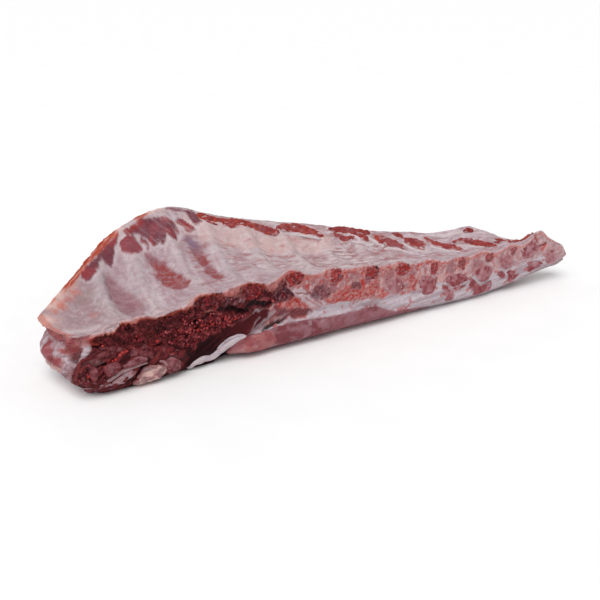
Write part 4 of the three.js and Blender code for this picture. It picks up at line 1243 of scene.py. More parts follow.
def sawn_look(c, d, z):
    """The sawn face: the cut edge of the membrane, marrow in its bones, then the crumbly shoulder end and
    dark muscle towards the neck, with painted shade low on the face there and painted shadows in its gaps,
    and fat over lean towards the loin."""
    spot = joined(d, 0, z)
    rough_d, rough_z = d + 1.8 * noise(spot, 6, 61, 3), z + 1.5 * noise(spot, 5, 63, 3)
    depth = backbone_top(d) - z
    mask = sawn_masks(spot, rough_d, rough_z)
    edge_thick = along(EDGE_DEPTH, d) * (1 + 0.3 * noise(spot, 5, 67, 3))
    cut_edge = ramp(1 - depth / edge_thick, -0.3, 0.25) * ramp(d, 515, 500)
    end_rim = bell(inside_outline(rough_d, rough_z, CRUMBLY) - 1, 2) * ramp(d, 18, 8) * (z > 41)
    ground, grain = bone_and_gristle(c, spot)
    ground.lay("fat", ramp(d, 285, 345) * (0.25 + 0.12 * grain + 0.15 * ramp(d, 430, 500)))
    # Painted shade under the overhang: the lower face towards the neck goes nearly black.
    ground.lay("dark_lean_and_shade", ramp(150 - d, -8, 8) * ramp(46 - z, -4, 4))
    specks = ramp(noise(spot, 2.2, 217, 2), 0.0, 0.45)
    pitted = ridged(spot, 2.4, 219)
    speckled = Coat(c, "speckle_red", spot).lay("bone_tan", ramp(pitted, 0.5, 0.8) * 0.6)
    # Blood, with painted shade in the bone's thin pits.
    speckled.lay("blood_and_crease_shade", ramp(ridged(spot, 3.4, 245), 0.2, 0.03) * 0.5)
    ground.lay(speckled.lay("marrow", specks * 0.5), mask["speckled"] * 0.95)
    strands = drawn_out(d, z, 1, -0.8, 12, 1.6, 220, 3)
    tissue = Coat(c, "fat", spot).lay("bone_pink", ramp(strands, 0.0, 0.5))
    ground.lay(tissue, mask["white"] * 0.8)
    lobe_grain, dark_grain = lay_shoulder_lean(ground, mask)
    crumbly, heights = crumbly_meat(c, spot)
    ground.lay(crumbly, mask["crumbly"])
    crumb = np.maximum(0.7 * mask["crumbly"], 0.35 * mask["speckled"])

    cracked = ridged(spot, 3.0, 229)
    marrow, rims = lay_marrow(ground, rough_d, rough_z, cracked)
    tan = Coat(c, "cut_edge", spot).lay("bone_tan", ramp(grain, -0.2, 0.5) * 0.5)
    tan.lay("rim_red", ramp(noise(spot, 4, 239, 3), 0.2, 0.6) * 0.5)
    tan.lay("fat", bell(depth - 0.8, 0.8) * 0.6)
    ground.lay(tan, cut_edge * (1 - marrow) * 0.95)
    bloody = ramp(noise(spot, 1.9, 240, 3) - 0.02 * depth, 0.25, 0.5)
    bloody *= within(d, (225, 245), (345, 470))
    ground.lay("speckle_red", bloody * ramp(depth, 14, 6) * 0.85)
    flakes = ramp(noise(spot, 1.7, 242, 2), 0.4, 0.6) * ramp(d, 200, 260)
    flakes *= (1 - mask["fat"]) * (1 - 0.7 * marrow)
    ground.lay("cream_pink", flakes * 0.45)
    ground.lay("rim_red", end_rim * 0.6)
    orange_edge = bell(depth - edge_thick, 1.1) * ramp(d, 220, 150) * ramp(d, 8, 25)
    ground.lay("rim_orange", orange_edge * 0.6)
    patches = lay_bone_patches(ground, rough_d, rough_z)
    wave = lay_loin(ground, mask)
    ground.lay("fascia", mask["fascia"] * 0.7)
    ground.lay("rim_red", mask["crease"] * 0.85)
    # Painted shadow: the gaps and crevices go near black.
    ground.lay("clot_and_gap_shadow", mask["gap"] * 0.98)

    crumb = crumb * (1 - mask["fat"]) * (1 - cut_edge) + 0.6 * marrow
    bare = (1 - crumb) * (1 - mask["fat"])
    relief = (mask["crumbly"] * (1.9 * heights - 0.9) + bare * (0.6 * noise(spot, 5, 241, 2) + 0.2 * grain)
              + mask["lobe"] * 0.9 * lobe_grain + mask["dark"] * 0.7 * dark_grain - 1.3 * patches
              - 4.5 * mask["gap"] - 1.2 * mask["crease"] + 0.9 * cut_edge + 0.7 * rims
              + 0.6 * mask["white"] * strands + mask["fat"] * (1 - mask["lean"]) * 1.1 * wave
              + 0.6 * mask["fascia"] + marrow * (0.9 * cracked - 0.7) + mask["speckled"] * pitted)
    away = ramp(z - foot(d), 0, 4) * ramp(depth, -0.5, 1.0)
    wet = 0.5 - 0.3 * mask["crumbly"] - 0.4 * mask["dark"]
    return fields_of(ground.colour, np.clip(crumb, 0, 1), 0.3 * mask["lean"], wet), relief * away


def outside_look(c, spot):
    """The outer side: white fat in soft folds, with lean showing through in long patches."""
    patches = ramp(noise(spot * (0.4, 1, 1), 15, 81, 3), 0.05, 0.5)
    folds = noise(spot * (0.3, 1, 1), 6, 83, 3)
    ground = Coat(c, "fat", spot).lay("fat_shade", ramp(folds, 0, 0.7) * 0.6)
    ground.lay("cream", ramp(noise(spot, 40, 85), -0.2, 0.5) * 0.4)
    ground.lay("lean", patches * 0.75)
    return fields_of(ground.colour, 0.0, 0.3 * patches, 0.6), 0.9 * folds - 0.6 * patches


def neck_look(c, w, z):
    """The cut across the neck end: mauve and pink muscles with white fascia between and painted shade in the
    creases round them, fat below them, a hollow painted dark as shade, and the bright cut edge of the sheet
    above them."""
    spot = joined(0, w, z)
    rough_w, rough_z = w + 1.8 * noise(spot, 6, 91, 3), z + 1.5 * noise(spot, 5, 93, 3)
    grain = drawn_out(w, z, 1, -0.35, 9, 1.8, 95, 3)
    white = Coat(c, "mottle", spot).lay("fat", ramp(grain, -0.3, 0.4))
    lean = Coat(c, "neck_band", spot).lay("lobe_red", ramp(noise(spot, 8, 99, 2), -0.1, 0.6) * 0.7)
    lean.lay("bone_pink", ramp(grain, -0.1, 0.5) * 0.65)
    white.lay("bone_pink", ramp(noise(spot, 5, 105, 2), -0.3, 0.3) * 0.55)
    muscle = outlined(rough_w, rough_z, NECK_MUSCLES.values(), 1.0)
    hollow = outlined(rough_w, rough_z, [NECK_HOLLOW], 1.2)
    fascia = ramp(inside_bands(rough_w, rough_z, NECK_FASCIA), -1.2, 1.2)
    fat = outlined(rough_w, rough_z, [NECK_END_FAT], 1.5)
    ground = white.lay(lean, muscle).lay("peach", fat * 0.5)
    ground.lay(Coat(c, "fascia", spot).lay("fat", ramp(grain, 0, 0.5)), fascia * 0.9)
    band = Coat(c, "neck_band", spot).lay("bone_pink", ramp(grain, -0.2, 0.5))
    ground.lay(band, ramp(w, 24, 12) * ramp(rough_z, 40.5, 43) * 0.9)
    corner = Coat(c, "lobe_lean", spot).lay("lobe_red", ramp(noise(spot, 5, 103, 3), -0.2, 0.5))
    ground.lay(corner, ramp(9 * bell(z - 18, 12) - rough_w, -1.5, 1.5))
    # Painted shade: the hollow in the dark neck lean's colour.
    ground.lay("lobe_lean", hollow * 0.85)
    ground.lay("rim_red", ramp(inside_band(rough_w, rough_z, NECK_RED_LINE), -0.8, 0.4) * 0.8)
    rim = ramp(rough_z, 44.5, 46.5) * ramp(w, 6, 16)
    ground.lay("rim_orange", rim * (0.6 + 0.4 * noise(spot, 5, 107, 3)))
    ground.lay("rim_red", rim * ramp(noise(spot, 4, 109, 2), 0, 0.5) * 0.6)
    lumps = noise(spot, 7, 101, 3)
    # Painted shade in the creases round the muscles.
    creases = bell(inside_all(rough_w, rough_z, NECK_MUSCLES.values()) + 0.5, 0.8)
    creases *= ramp(lumps, -0.3, 0.2)
    # Painted shade: the creases round the muscles darkened in red.
    ground.lay("lobe_red", creases * 0.5)
    bulge = ramp(inside_all(w, z, NECK_MUSCLES.values()), -1, 4)
    relief = (1.8 * lumps + 0.7 * grain - 0.8 * creases + 2.6 * bulge - 2.6 * hollow + 1.0 * fascia
              - 1.6 * bell(z - 43.5, 1.6) * (w > 0) + 0.8 * rim)
    return fields_of(ground.colour, 0.1, 0.2, 0.5), relief


# ---- Body --------------------------------------------------------------------------------------------------
def body_fields(c):
    """Points of the body with their relief, and the fields that its finish reads. Each side's look is mixed
    in by how much of a point belongs to that side."""
    d, w, z, size = body_grid()
    points = to_frame(d + neck_setback(d, w, z), w, z)
    side = np.repeat(np.arange(4), list(AROUND.values()))[None] + 0 * d
    inside, edge, under, sawn = (side == i for i in range(4))
    end = (d == 0) * ramp(size, 1.0, 0.9)
    outer = under + edge * ramp(along(RIM_HEIGHT, d) - z, 1, 6)
    shares = [(inside | edge) * (1 - outer) * (1 - end), outer * (1 - end), sawn * (1 - end), end]
    looks = [inside_look(c, d, w), outside_look(c, points), sawn_look(c, d, z), neck_look(c, w, z)]
    fields = {}
    for key, first in looks[0][0].items():
        weights = [share[..., None] if first.ndim == 3 else share for share in shares]
        fields[key] = sum(look[0][key] * weight for look, weight in zip(looks, weights))
    relief = sum(look[1] * share for look, share in zip(looks, shares))
    points = points + grid_normals(points) * relief[..., None]
    points[..., 2] = np.maximum(points[..., 2], 0)
    return points, fields


def make_body(c, finish):
    """The meat, in the place of its solid."""
    points, fields = body_fields(c)
    return keep(make_tube("meat_body", points, fields), finish, "meat", "meat")


# ---- Bones -------------------------------------------------------------------------------------------------
def squared_off(value):
    """A sine or cosine to the power 2/3 with its sign kept, which makes a superellipse of a circle."""
    return np.sign(value) * np.abs(value) ** (2 / 3)


def make_vertebra(k, c, finish):
    """Half a vertebra, sawn through: rings from the middle of the sawn face out to its edge, a superellipse,
    then back into the meat. Its face carries the same look as the meat round it."""
    d0 = RIB_STARTS[k]
    long, tall = VERTEBRA_LONG - VERTEBRA_SHRINK * k, VERTEBRA_TALL - VERTEBRA_SHRINK * k
    middle = min(sawn_top(d0 + step) for step in (-long / 2, 0, long * 0.7)) - VERTEBRA_SKIN - tall
    face = np.linspace(0.06, 0.94, FACE_RINGS)
    out = np.concatenate([face, [0.985, 1, 1, 1, 1, 0.96, 0.8, 0.4]])[:, None]
    back = [-0.4, 0.1, 4, 9, 14, 16.4, VERTEBRA_DEPTH, VERTEBRA_DEPTH]
    depth = np.concatenate([np.full(FACE_RINGS, -BONE_PROUD), back])[:, None]
    turn = turns(VERTEBRA_SIDES)[None]
    w = depth + 0 * turn
    uneven = 1 + 0.03 * noise(joined(np.cos(turn), np.sin(turn), k) * 1.5, 1, 7 + k)
    d = d0 + long * out * squared_off(np.cos(turn)) * uneven
    z = middle + tall * out * squared_off(np.sin(turn)) * uneven
    fields, relief = sawn_look(c, d, z)
    front = ramp(out, 1.0, 0.8) * (depth < 0)
    sunk = np.minimum(0, inner_height(d0 + 0 * w, np.maximum(w, 0) / reach(d0)) - backbone_top(d0))
    points = to_frame(d, w - front * np.clip(relief, -1.5, 1.5), z + sunk)
    name = f"vertebra_{k + 1:02d}"
    return keep(make_tube(f"{name}_bone", points, fields), finish, "bone", name)


def make_rib(k, c, finish):
    """A flat oval bar from behind its vertebra to the far edge, where its sawn end shows marrow."""
    far = reach(rib_at(k, reach(RIB_STARTS[k]))) + RIB_PROUD
    bar = np.linspace(RIB_START + 2, far - 1.2, RIB_RINGS)
    w = np.concatenate([[RIB_START + 0.4], bar, [far - 0.4, far, far, far]])[:, None]
    size = np.concatenate([[0.7], np.ones(RIB_RINGS), [0.99, 0.93, 0.6, 0.25]])[:, None]
    turn = turns(RIB_SIDES)[None]
    d0 = rib_at(k, w)
    middle = inner_height(d0, np.clip(w / reach(d0), 0, 1)) - RIB_SKIN - RIB_THICK / 2
    d = d0 + RIB_WIDTH / 2 * RIB_FIT * size * np.cos(turn)
    points = to_frame(d, w, middle + RIB_THICK / 2 * RIB_FIT * size * np.sin(turn))
    marrow = ramp(size, 0.95, 0.6) * (w > far - 1) + 0 * turn
    fields = fields_of(Coat(c, "bone_tan", points).lay("marrow", marrow).colour, marrow, 0.0, 0.5)
    name = f"rib_{k + 1:02d}"
    return keep(make_tube(f"{name}_bone", points, fields), finish, "bone", name)


# ---- Soft pieces on the meat -------------------------------------------------------------------------------
def make_chop(name, outline, height, pale, c, finish, seed):
    """A lump of the loin's end: mauve lean or paler gristle, mottled, with a white film low on it."""
    points, out = lump(sawn_surface, outline, height, dome=2.0, rough=0.5, seed=seed)
    z = points[..., 2]
    tone, small = noise(points, 6, 303 + seed, 3), noise(points, 2.2, 301 + seed, 3)
    ground = Coat(c, "chop_lean", points).lay("chop_pale", np.clip(pale + 0.9 * tone, 0, 1) * 0.8)
    ground.lay("chop_pale", ramp(small, 0.1, 0.6) * 0.4)
    ground.lay("lobe_red", ramp(tone + 0.5 * small, -0.2, -0.8) * 0.45)
    ground.lay("bone_tan", ramp(out, 0.75, 1.0) * ramp(noise(points, 5, 307), -0.2, 0.4) * 0.4)
    low = 0.25 + 0.75 * ramp(z, z.mean() + 4, z.mean() - 5)
    film = bell(out - 0.95, 0.08) * ramp(noise(points, 8, 305 + seed), -0.4, 0.2) * low
    ground.lay("fat", film * 0.8)
    fields = fields_of(ground.colour, 0.1, 0.1, 0.6)
    points[..., 1] -= 0.4 * small * (out < 0.95)
    return keep(make_tube(name, points, fields), finish, "meat")


def make_skirt(name, points, edge, brown, c, finish, seed):
    """A strip of lean along the far edge, mottled red and brown, with painted shade in its creases, with
    orange and pale film along its edges."""
    tone, grain = noise(points, 5, 311 + seed, 3), noise(points * (0.6, 1, 1), 1.8, 313 + seed, 3)
    ground = Coat(c, "skirt_red", points).lay("skirt_brown", np.clip(brown + 0.6 * tone, 0, 1))
    ground.lay("speckle_red", ramp(grain + 0.5 * tone, 0.0, 0.7) * (0.2 + 0.4 * brown))
    ground.lay("plate_red", ramp(tone, 0.0, -0.5) * 0.7)
    # Painted shade in the creases of the grain.
    ground.lay("lobe_red", ramp(grain, -0.15, -0.6) * 0.7)
    ground.lay("gristle", ramp(noise(points, 6, 316 + seed, 2), 0.0, 0.5) * 0.4)
    ground.lay("bone_pink", ramp(grain, 0.25, 0.65) * 0.35)
    rind = ramp(edge, 0.5, 0.85) * ramp(noise(points, 5, 318, 2), -0.3, 0.3)
    ground.lay(Coat(c, "rim_red", points).lay("rim_orange", ramp(tone, 0, 0.5) * brown), rind * 0.5)
    film = ramp(edge, 0.88, 0.98) * ramp(noise(points, 7, 315), -0.2, 0.2)
    ground.lay("cream_pink", film * 0.7)
    ground.lay("strand_white", ramp(edge + 0.5 * noise(points, 4, 319 + seed, 3), 0.85, 1.15) * 0.75)
    points[..., 2] += 0.35 * grain * (edge < 0.9)
    return keep(make_tube(name, points, fields_of(ground.colour, 0.25, 0.1, 0.6)), finish, "meat")


def make_soft(name, points, edge, tones, c, finish, seed, crumb=0.0, film=0.3):
    """A soft leaf or roll of meat or fat in two tones, filmed with fat in places. Lean gets painted shade
    where it goes in at its edge, and neck fat is pinker."""
    tone = noise(points * (0.5, 1, 1) + 0.5 * np.roll(points, 1, -1), 4.5, 321 + seed, 3)
    ground = Coat(c, tones[0], points).lay(tones[1], ramp(tone, -0.4, 0.5))
    ground.lay("fat", ramp(noise(points, 6, 323 + seed, 2), 0.25, 0.7) * film)
    if tones[0] in ("lobe_lean", "neck_roll"):
        ground.lay("crumbly", ramp(noise(points, 2.2, 325 + seed, 3), 0.0, 0.5) * 0.6)
        ground.lay("gristle", ramp(noise(points, 2.8, 327 + seed, 2), 0.25, 0.6) * 0.4)
        # Painted shade where the leaf goes in at its edge.
        ground.lay("dark_lean_and_shade", ramp(edge, 0.84, 1.0) * 0.5)
    elif tones[0] == "neck_fat":
        ground.lay("bone_pink", ramp(noise(points, 4, 329 + seed, 3), -0.1, 0.5) * 0.45)
        ground.lay("neck_roll", ramp(edge + 0.25 * noise(points, 3, 330, 2), 0.7, 1.05) * 0.75)
    return keep(make_tube(name, points, fields_of(ground.colour, crumb, 0.2, 0.5)), finish, "meat")


def crumb_places(draw, count):
    """d, z and radius of the crumbs. The larger ones are listed, and moved a little. The rest are drawn, and
    kept where the crumbs lie thick."""
    d, z = draw.uniform(30, 196, count * 8), draw.uniform(8, 72, count * 8)
    kept = (inside_outline(d, z, CRUMBLY) > 1.5) & (inside_band(d, z, CREVICE) < -1)
    kept &= backbone_top(d) - z > 5
    kept &= thick_crumbs(d, z) + 0.5 * noise(joined(d, 0, z), 8, 331, 2) > 0.45
    drawn = d[kept][:count], z[kept][:count], draw.uniform(0.6, 1.3, count)[:kept.sum()]
    listed = np.array(RIDGE_CRUMBS)
    listed[:, 2] *= draw.uniform(0.4, 1.1, len(listed))
    listed[:, :2] += draw.normal(0, 0.9, (len(listed), 2))
    return [np.concatenate([listed[:, i], drawn[i]]) for i in range(3)]


def twelve_corner_ball():
    """The corners of a regular solid of twelve, and its faces: every three corners that are neighbours."""
    golden = (1 + 5 ** 0.5) / 2
    ball = np.array([(0, s, t * golden) for s in (-1, 1) for t in (-1, 1)])
    ball = np.concatenate([ball, ball[:, [2, 0, 1]], ball[:, [1, 2, 0]]]) / np.hypot(1, golden)
    near = np.linalg.norm(ball[:, None] - ball[None], axis=-1) < 1.1
    faces = [f for f in itertools.combinations(range(12), 3) if near[np.ix_(f, f)].all()]
    return ball, np.array([f if np.linalg.det(ball[list(f)]) > 0 else f[::-1] for f in faces])


def make_crumbs(c, finish):
    """Loose crumbs over the crumbly end, in one mesh. Each is a ball of twelve corners, squashed and turned
    by a seeded draw."""
    draw = np.random.default_rng(CRUMB_SEED)
    d, z, size = crumb_places(draw, CRUMB_COUNT)
    ball, faces = twelve_corner_ball()
    turned, _ = np.linalg.qr(draw.normal(size=(len(d), 3, 3)))
    turned *= np.sign(np.linalg.det(turned))[:, None, None]
    shapes = ball[None] * draw.uniform(0.75, 1.2, (len(d), 12, 1)) * size[:, None, None]
    shapes = shapes * draw.uniform(0.7, 1.2, (len(d), 1, 3))
    middles = sawn_surface(d, z) + np.array((0, -CRUMB_PROUD, 0))
    points = middles[:, None] + np.einsum("nij,nkj->nki", turned, shapes)
    tone, listed = draw.uniform(0, 1, len(d)), np.arange(len(d)) < len(RIDGE_CRUMBS)
    ground = Coat(c, "crumb_red", points[:, 0]).lay("crumb", ramp(tone, 0.5, 1.0) * 0.7)
    ground.lay("crumbly", ramp(tone, 0.35, 0.1) * ~listed).lay("speckle_red", 0.6 * listed)
    triangles = (faces[None] + 12 * np.arange(len(d))[:, None, None]).reshape(-1, 3)
    fields = fields_of(np.repeat(ground.colour, 12, 0), 0.15, 0, 0.6)
    crumbs = make_mesh("crumbs", points.reshape(-1, 3), np.zeros((0, 4), int), triangles, fields)
    return keep(crumbs, finish, "meat")


# ---- Stage -------------------------------------------------------------------------------------------------
def link(name, data):
    """An object of this data in the scene."""
    made = bpy.data.objects.new(name, data)
    bpy.context.scene.collection.objects.link(made)
    return made


def make_camera(look):
    """The camera, on a sphere round its target."""
    eye_turn, eye_rise = np.radians(look.azimuth), np.radians(look.elevation)
    level = np.cos(eye_rise)
    back = Vector((np.sin(eye_turn) * level, -np.cos(eye_turn) * level, np.sin(eye_rise)))
    camera = link("camera", bpy.data.cameras.new("camera"))
    camera.data.lens, camera.data.sensor_width = look.lens, SENSOR_WIDTH
    camera.location = Vector(look.target) + back * look.distance
    camera.rotation_euler = back.to_track_quat("Z", "Y").to_euler()
    bpy.context.scene.camera = camera


def make_sun(look):
    """One broad light."""
    light = link("window_light", bpy.data.lights.new("window_light", "SUN"))
    light.data.energy, light.data.angle = look.sun_strength, np.radians(look.sun_softness)
    light.rotation_euler = Vector(look.sun_from).to_track_quat("Z", "Y").to_euler()


def make_floor(look):
    """A wide pale disc, in rings about the middle."""
    radius, turn = np.array(FLOOR_RADII, float)[:, None], turns(FLOOR_SIDES)[None]
    corners = closed(joined(radius * np.cos(turn), radius * np.sin(turn), -FLOOR_DROP))[:-1]
    quads, fans = tube_faces(len(FLOOR_RADII), FLOOR_SIDES)
    mesh = bpy.data.meshes.new("floor")
    mesh.from_pydata((corners * MM).tolist(), [], quads.tolist() + fans[:FLOOR_SIDES].tolist())
    floor = link("floor", mesh)
    finish = Finish("pale floor")
    tone = finish.step(finish.noise(40, 3), 0.3, 0.7)
    colour = finish.mix(tone, tuple(part * FLOOR_SHADE for part in look.floor), look.floor)
    floor.data.materials.append(finish.surface(colour, tone * 0.05 + 0.7, tone, 0.01, 0.0, 0.0, (1, 1, 1)))


def make_world(look):
    """Even light from all round."""
    world = bpy.data.worlds.new("studio")
    bpy.context.scene.world = world
    world.use_nodes = True
    background = world.node_tree.nodes["Background"].inputs
    background["Color"].default_value = (*look.sky, 1)
    background["Strength"].default_value = look.sky_strength
    bpy.context.scene.view_settings.view_transform = "Standard"


# ---- Settings, operators and panel -------------------------------------------------------------------------
def number(name, description, default, **kind):
    """A setting of one number."""
    return bpy.props.FloatProperty(name=name, description=description, default=default, **kind)


def vector(name, description, default, **kind):
    """A setting of three numbers."""
    return bpy.props.FloatVectorProperty(name=name, description=description, default=default, **kind)


def tint(name, description, default):
    """A colour setting."""
    return vector(name, description, default, subtype="COLOR", size=3, min=0, max=1)


class RibRackColours(bpy.types.PropertyGroup):
    """Colours of the raw meat, fat and bone."""
    membrane: tint("Membrane", "Membrane over the ribs", (0.54, 0.455, 0.465))
    membrane_pale: tint("Membrane, pale", "Membrane at both ends", (0.45, 0.36, 0.395))
    membrane_cool: tint("Membrane, bluish", "Membrane by the neck", (0.27, 0.192, 0.205))
    blueberry: tint("Blue lean", "Bluish top ends of the lean between the ribs", (0.19, 0.165, 0.26))
    rib_cream: tint("Rib", "Membrane over the ribs by the neck", (0.53, 0.44, 0.44))
    bluish: tint("Blue sheen", "Bone showing blue through the membrane", (0.36, 0.30, 0.37))
    mottle: tint("Mottling", "Pink patches in the membrane", (0.37, 0.24, 0.265))
    streak: tint("Streaks", "Brownish streaks in the membrane", (0.33, 0.165, 0.17))
    strand_white: tint("White strands", "Pale threads of the membrane", (0.58, 0.48, 0.50))
    strand_pink: tint("Pink strands", "Darker threads of the membrane", (0.35, 0.21, 0.24))
    cream: tint("Cream fat", "Soft fat on the inside", (0.58, 0.43, 0.42))
    cream_pink: tint("Pink fat", "Pinker fat on the inside", (0.54, 0.33, 0.32))
    flush: tint("Flush", "Red flush in the membrane by the neck", (0.42, 0.15, 0.13))
    window_purple: tint("Lean behind membrane", "Lean between the ribs", (0.24, 0.10, 0.125))
    window_red: tint("Red lean behind membrane", "Bloodiest lean between the ribs", (0.27, 0.045, 0.04))
    plate_lean: tint("Plate muscle", "Thin muscles at the far edge", (0.16, 0.037, 0.052))
    plate_red: tint("Plate muscle, red", "Redder parts of the thin muscles", (0.29, 0.042, 0.048))
    rim_red: tint("Edge red", "Red far edge", (0.33, 0.035, 0.025))
    rim_orange: tint("Edge orange", "Orange-red far edge", (0.56, 0.10, 0.04))
    peach: tint("Peach fat", "Fat at the far edge by the neck", (0.76, 0.50, 0.45))
    skirt_red: tint("Skirt, red", "Strips of lean along the far edge", (0.28, 0.042, 0.045))
    skirt_brown: tint("Skirt, brown", "Browner strips along the far edge", (0.31, 0.045, 0.03))
    lean: tint("Loin lean", "Lean strip on the table", (0.30, 0.13, 0.152))
    # Dark neck lean; the same colour paints the shade in the neck end's hollow.
    lobe_lean: tint("Neck lean", "Lean of the neck lobe", (0.075, 0.008, 0.011))
    # Red neck lean; the same colour paints the shade in creases.
    lobe_red: tint("Neck lean, red", "Redder lean of the neck lobe", (0.20, 0.026, 0.027))
    neck_band: tint("Neck band", "Mauve lean under the membrane by the neck", (0.31, 0.078, 0.088))
    neck_roll: tint("Neck roll", "Smooth roll of lean on the neck lobe", (0.20, 0.05, 0.06))
    neck_fat: tint("Neck fat", "Pink fat under the neck lobe", (0.30, 0.18, 0.185))
    # Dark muscle; the same colour paints shade under the overhang and where leaves go in.
    dark_lean_and_shade: tint("Dark lean", "Dark muscle under the backbone", (0.017, 0.0009, 0.0024))
    crumbly: tint("Crumbly shoulder end", "Sawn, crumbly meat and bone", (0.085, 0.006, 0.0105))
    # Pale crumbs; the same colour also paints glints on crumbly meat.
    crumb: tint("Pale crumbs", "Pale crumbs of the sawn meat", (0.50, 0.125, 0.135))
    crumb_red: tint("Red crumbs", "Red crumbs of the sawn meat", (0.24, 0.021, 0.027))
    # Blood in pits and creases; the same colour paints the shade in them.
    blood_and_crease_shade: tint("Blood", "Darkest pits", (0.018, 0.0015, 0.002))
    fat: tint("Fat", "White fat", (0.56, 0.475, 0.515))
    fat_shade: tint("Fat folds", "Greyish folds in the fat", (0.36, 0.255, 0.285))
    bone_pink: tint("Bone, pink", "Sawn bone and gristle", (0.38, 0.135, 0.135))
    bone_tan: tint("Bone, tan", "Paler sawn bone", (0.58, 0.33, 0.315))
    speckle_red: tint("Speckled bone", "Red specks in sawn bone", (0.47, 0.040, 0.030))
    # Dark gaps between the bones: painted shade in them.
    shaded_pocket: tint("Pocket", "Dark gaps between the bones", (0.10, 0.025, 0.04))
    chop_lean: tint("Chop lean", "Mauve lumps at the loin's end", (0.29, 0.07, 0.083))
    chop_pale: tint("Chop gristle", "Paler lumps at the loin's end", (0.48, 0.26, 0.285))
    marrow: tint("Marrow", "Bright marrow", (0.43, 0.020, 0.022))
    marrow_dark: tint("Dark marrow", "Marrow towards the neck", (0.09, 0.008, 0.011))
    gristle: tint("Gristle", "Mauve gristle beside the sawn bones", (0.31, 0.125, 0.14))
    # Black clots by the marrow; the same colour paints the shadow in the gaps.
    clot_and_gap_shadow: tint("Clot", "Black clots by the marrow", (0.008, 0.006, 0.008))
    fascia: tint("Fascia", "Greyish white skin between muscles", (0.40, 0.29, 0.32))
    # The colour of a painted shadow, greyish tan, at the far edge by the neck.
    painted_tan_shadow: tint("Tan shade", "Greyish tan fat at the far edge by the neck", (0.30, 0.21, 0.19))
    cut_edge: tint("Cut edge", "Cut edge of the membrane", (0.53, 0.19, 0.165))


class RibRackLook(bpy.types.PropertyGroup):
    """Camera, light and floor."""
    azimuth: number("Azimuth", "Camera's angle round the rack, in degrees", -30)
    elevation: number("Elevation", "Camera's angle above the table, in degrees", 23)
    distance: number("Distance", "Camera's distance", 0.75, unit="LENGTH")
    lens: number("Lens", "Focal length, in millimetres", 50)
    target: vector("Target", "Point that the camera looks at", (-0.0420, -0.0625, 0.0300), subtype="XYZ",
                   unit="LENGTH")
    floor: tint("Floor", "Colour of the floor", (0.93, 0.93, 0.93))
    sky: tint("Sky", "Colour of the light all round", (1.0, 1.0, 1.0))
    sky_strength: number("Sky strength", "Strength of the light all round", 0.55)
    sun_strength: number("Sun strength", "Strength of the broad light", 1.9)
    sun_softness: number("Sun softness", "How wide the broad light is, in degrees", 55)
    sun_from: vector("Sun from", "Where the broad light comes from", (-0.35, -0.25, 1.0), subtype="XYZ")


class RIBRACK_OT_body(bpy.types.Operator):
    """Make the meat: membrane inside, sawn face, fat outside"""
    bl_idname = "ribrack.body"
    bl_label = "Meat"

    def execute(self, context):
        colours = context.scene.rib_rack_colours
        make_body(colours, flesh_finish("raw meat", colours))
        return {"FINISHED"}


class RIBRACK_OT_bones(bpy.types.Operator):
    """Make the sawn vertebrae and the ribs"""
    bl_idname = "ribrack.bones"
    bl_label = "Bones"

    def execute(self, context):
        colours = context.scene.rib_rack_colours
        finish = flesh_finish("sawn bone", colours, grain=1.6)
        for k in range(RIB_COUNT):
            make_vertebra(k, colours, finish)
            make_rib(k, colours, finish)
        return {"FINISHED"}


class RIBRACK_OT_loin_end(bpy.types.Operator):
    """Make the lumps of lean, the strips and the fat on the sawn face"""
    bl_idname = "ribrack.loin_end"
    bl_label = "Loin end"

    def execute(self, context):
        colours = context.scene.rib_rack_colours
        finish = flesh_finish("soft meat", colours, gloss=0.46, soft=0.15)
        for seed, (name, (outline, height, pale)) in enumerate(CHOPS.items()):
            make_chop(name, outline, height, pale, colours, finish, seed)
        soft = {
            "loin_strip": (strip(sawn_surface, LOIN_STRIP, 1.2, seed=41), ("lean", "neck_roll"), 41, 0.3),
            "loin_tip": (lump(sawn_surface, LOIN_TIP, 2.2, dome=2.2, seed=44), ("neck_band", "bone_pink"),
                         44, 0.12),
            "fat_tongue": (strip(sawn_surface, FAT_TONGUE, 2.2, seed=42), ("fat", "strand_white"), 42, 0.3),
            "fat_tongue_fold": (strip(sawn_surface, TONGUE_FOLD, 1.6, seed=43), ("fat", "fascia"), 43, 0.3),
        }
        for name, (form, tones, seed, film) in soft.items():
            make_soft(name, *form, tones, colours, finish, seed, film=film)
        return {"FINISHED"}


class RIBRACK_OT_skirt(bpy.types.Operator):
    """Make the strips of lean along the far edge"""
    bl_idname = "ribrack.skirt"
    bl_label = "Skirt"

    def execute(self, context):
        colours = context.scene.rib_rack_colours
        finish = flesh_finish("skirt meat", colours)
        for seed, (name, (path, brown)) in enumerate(SKIRT_STRIPS.items()):
            form = strip(inside_surface, path, 1.8, seed=seed, rough=1.2, size=4)
            make_skirt(name, *form, brown, colours, finish, seed)
        for seed, (name, (outline, brown)) in enumerate(SKIRT_LUMPS.items()):
            form = lump(inside_surface, outline, 1.8, seed=seed, rough=1.0)
            make_skirt(name, *form, brown, colours, finish, seed + 9)
        for seed, (name, path) in enumerate(SKIRT_FILMS.items()):
            form = strip(inside_surface, path, 1.3, sink=3.5, roundness=2, seed=seed)
            make_soft(name, *form, ("strand_white", "membrane"), colours, finish, seed)
        return {"FINISHED"}


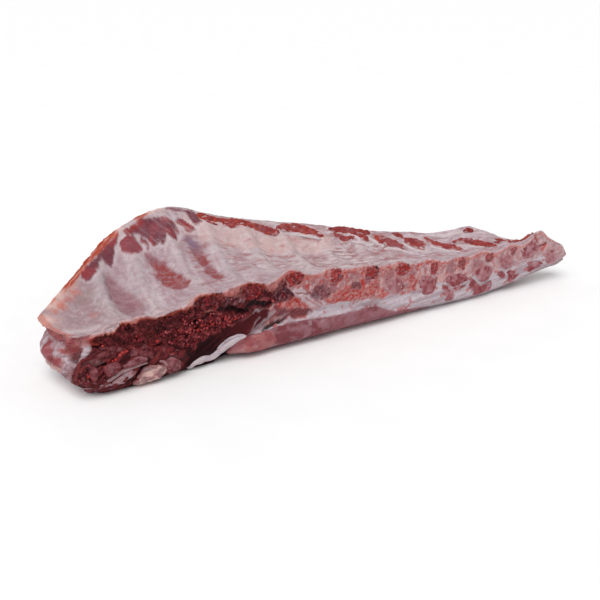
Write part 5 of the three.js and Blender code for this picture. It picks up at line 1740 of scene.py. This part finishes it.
class RIBRACK_OT_neck(bpy.types.Operator):
    """Make the folds of meat and fat on the neck lobe, and the loose crumbs"""
    bl_idname = "ribrack.neck"
    bl_label = "Neck folds and crumbs"

    def execute(self, context):
        colours = context.scene.rib_rack_colours
        finish = flesh_finish("neck meat", colours)
        for seed, (name, (outline, height, tones, crumb)) in enumerate(NECK_LEAVES.items()):
            form = lump(sawn_surface, outline, height, dome=3.2, rough=0.9, size=3, seed=seed)
            make_soft(name, *form, tones, colours, finish, seed, crumb, 0.08)
        for seed, (name, (path, height, tones, crumb)) in enumerate(NECK_RIDGES.items()):
            form = strip(sawn_surface, path, height, seed=seed)
            make_soft(name, *form, tones, colours, finish, seed, crumb, 0.1)
        make_crumbs(colours, finish)
        return {"FINISHED"}


class RIBRACK_OT_stage(bpy.types.Operator):
    """Make the camera, the lights and the floor"""
    bl_idname = "ribrack.stage"
    bl_label = "Stage"

    def execute(self, context):
        look = context.scene.rib_rack_look
        make_camera(look)
        make_world(look)
        make_floor(look)
        make_sun(look)
        return {"FINISHED"}


class RIBRACK_PT_panel(bpy.types.Panel):
    """The rack's pieces and colours"""
    bl_idname = "RIBRACK_PT_panel"
    bl_label = "Rack of ribs"
    bl_space_type = "VIEW_3D"
    bl_region_type = "UI"
    bl_category = "Ribs"

    def draw(self, context):
        for operator in OPERATORS:
            self.layout.operator(operator.bl_idname)
        for group in (context.scene.rib_rack_look, context.scene.rib_rack_colours):
            for key in group.__annotations__:
                self.layout.prop(group, key)


OPERATORS = (RIBRACK_OT_stage, RIBRACK_OT_body, RIBRACK_OT_bones, RIBRACK_OT_loin_end, RIBRACK_OT_skirt,
             RIBRACK_OT_neck)
CLASSES = (RibRackColours, RibRackLook, *OPERATORS, RIBRACK_PT_panel)


def register():
    """Adds the classes and their settings."""
    for cls in CLASSES:
        bpy.utils.register_class(cls)
    bpy.types.Scene.rib_rack_colours = bpy.props.PointerProperty(type=RibRackColours)
    bpy.types.Scene.rib_rack_look = bpy.props.PointerProperty(type=RibRackLook)


def unregister():
    """Takes them away again, the last one first."""
    del bpy.types.Scene.rib_rack_look
    del bpy.types.Scene.rib_rack_colours
    for cls in reversed(CLASSES):
        bpy.utils.unregister_class(cls)


def main():
    """Makes every piece."""
    register()
    for step in (bpy.ops.ribrack.stage, bpy.ops.ribrack.body, bpy.ops.ribrack.bones, bpy.ops.ribrack.loin_end,
                 bpy.ops.ribrack.skirt, bpy.ops.ribrack.neck):
        step()


if __name__ == "__main__":
    main()
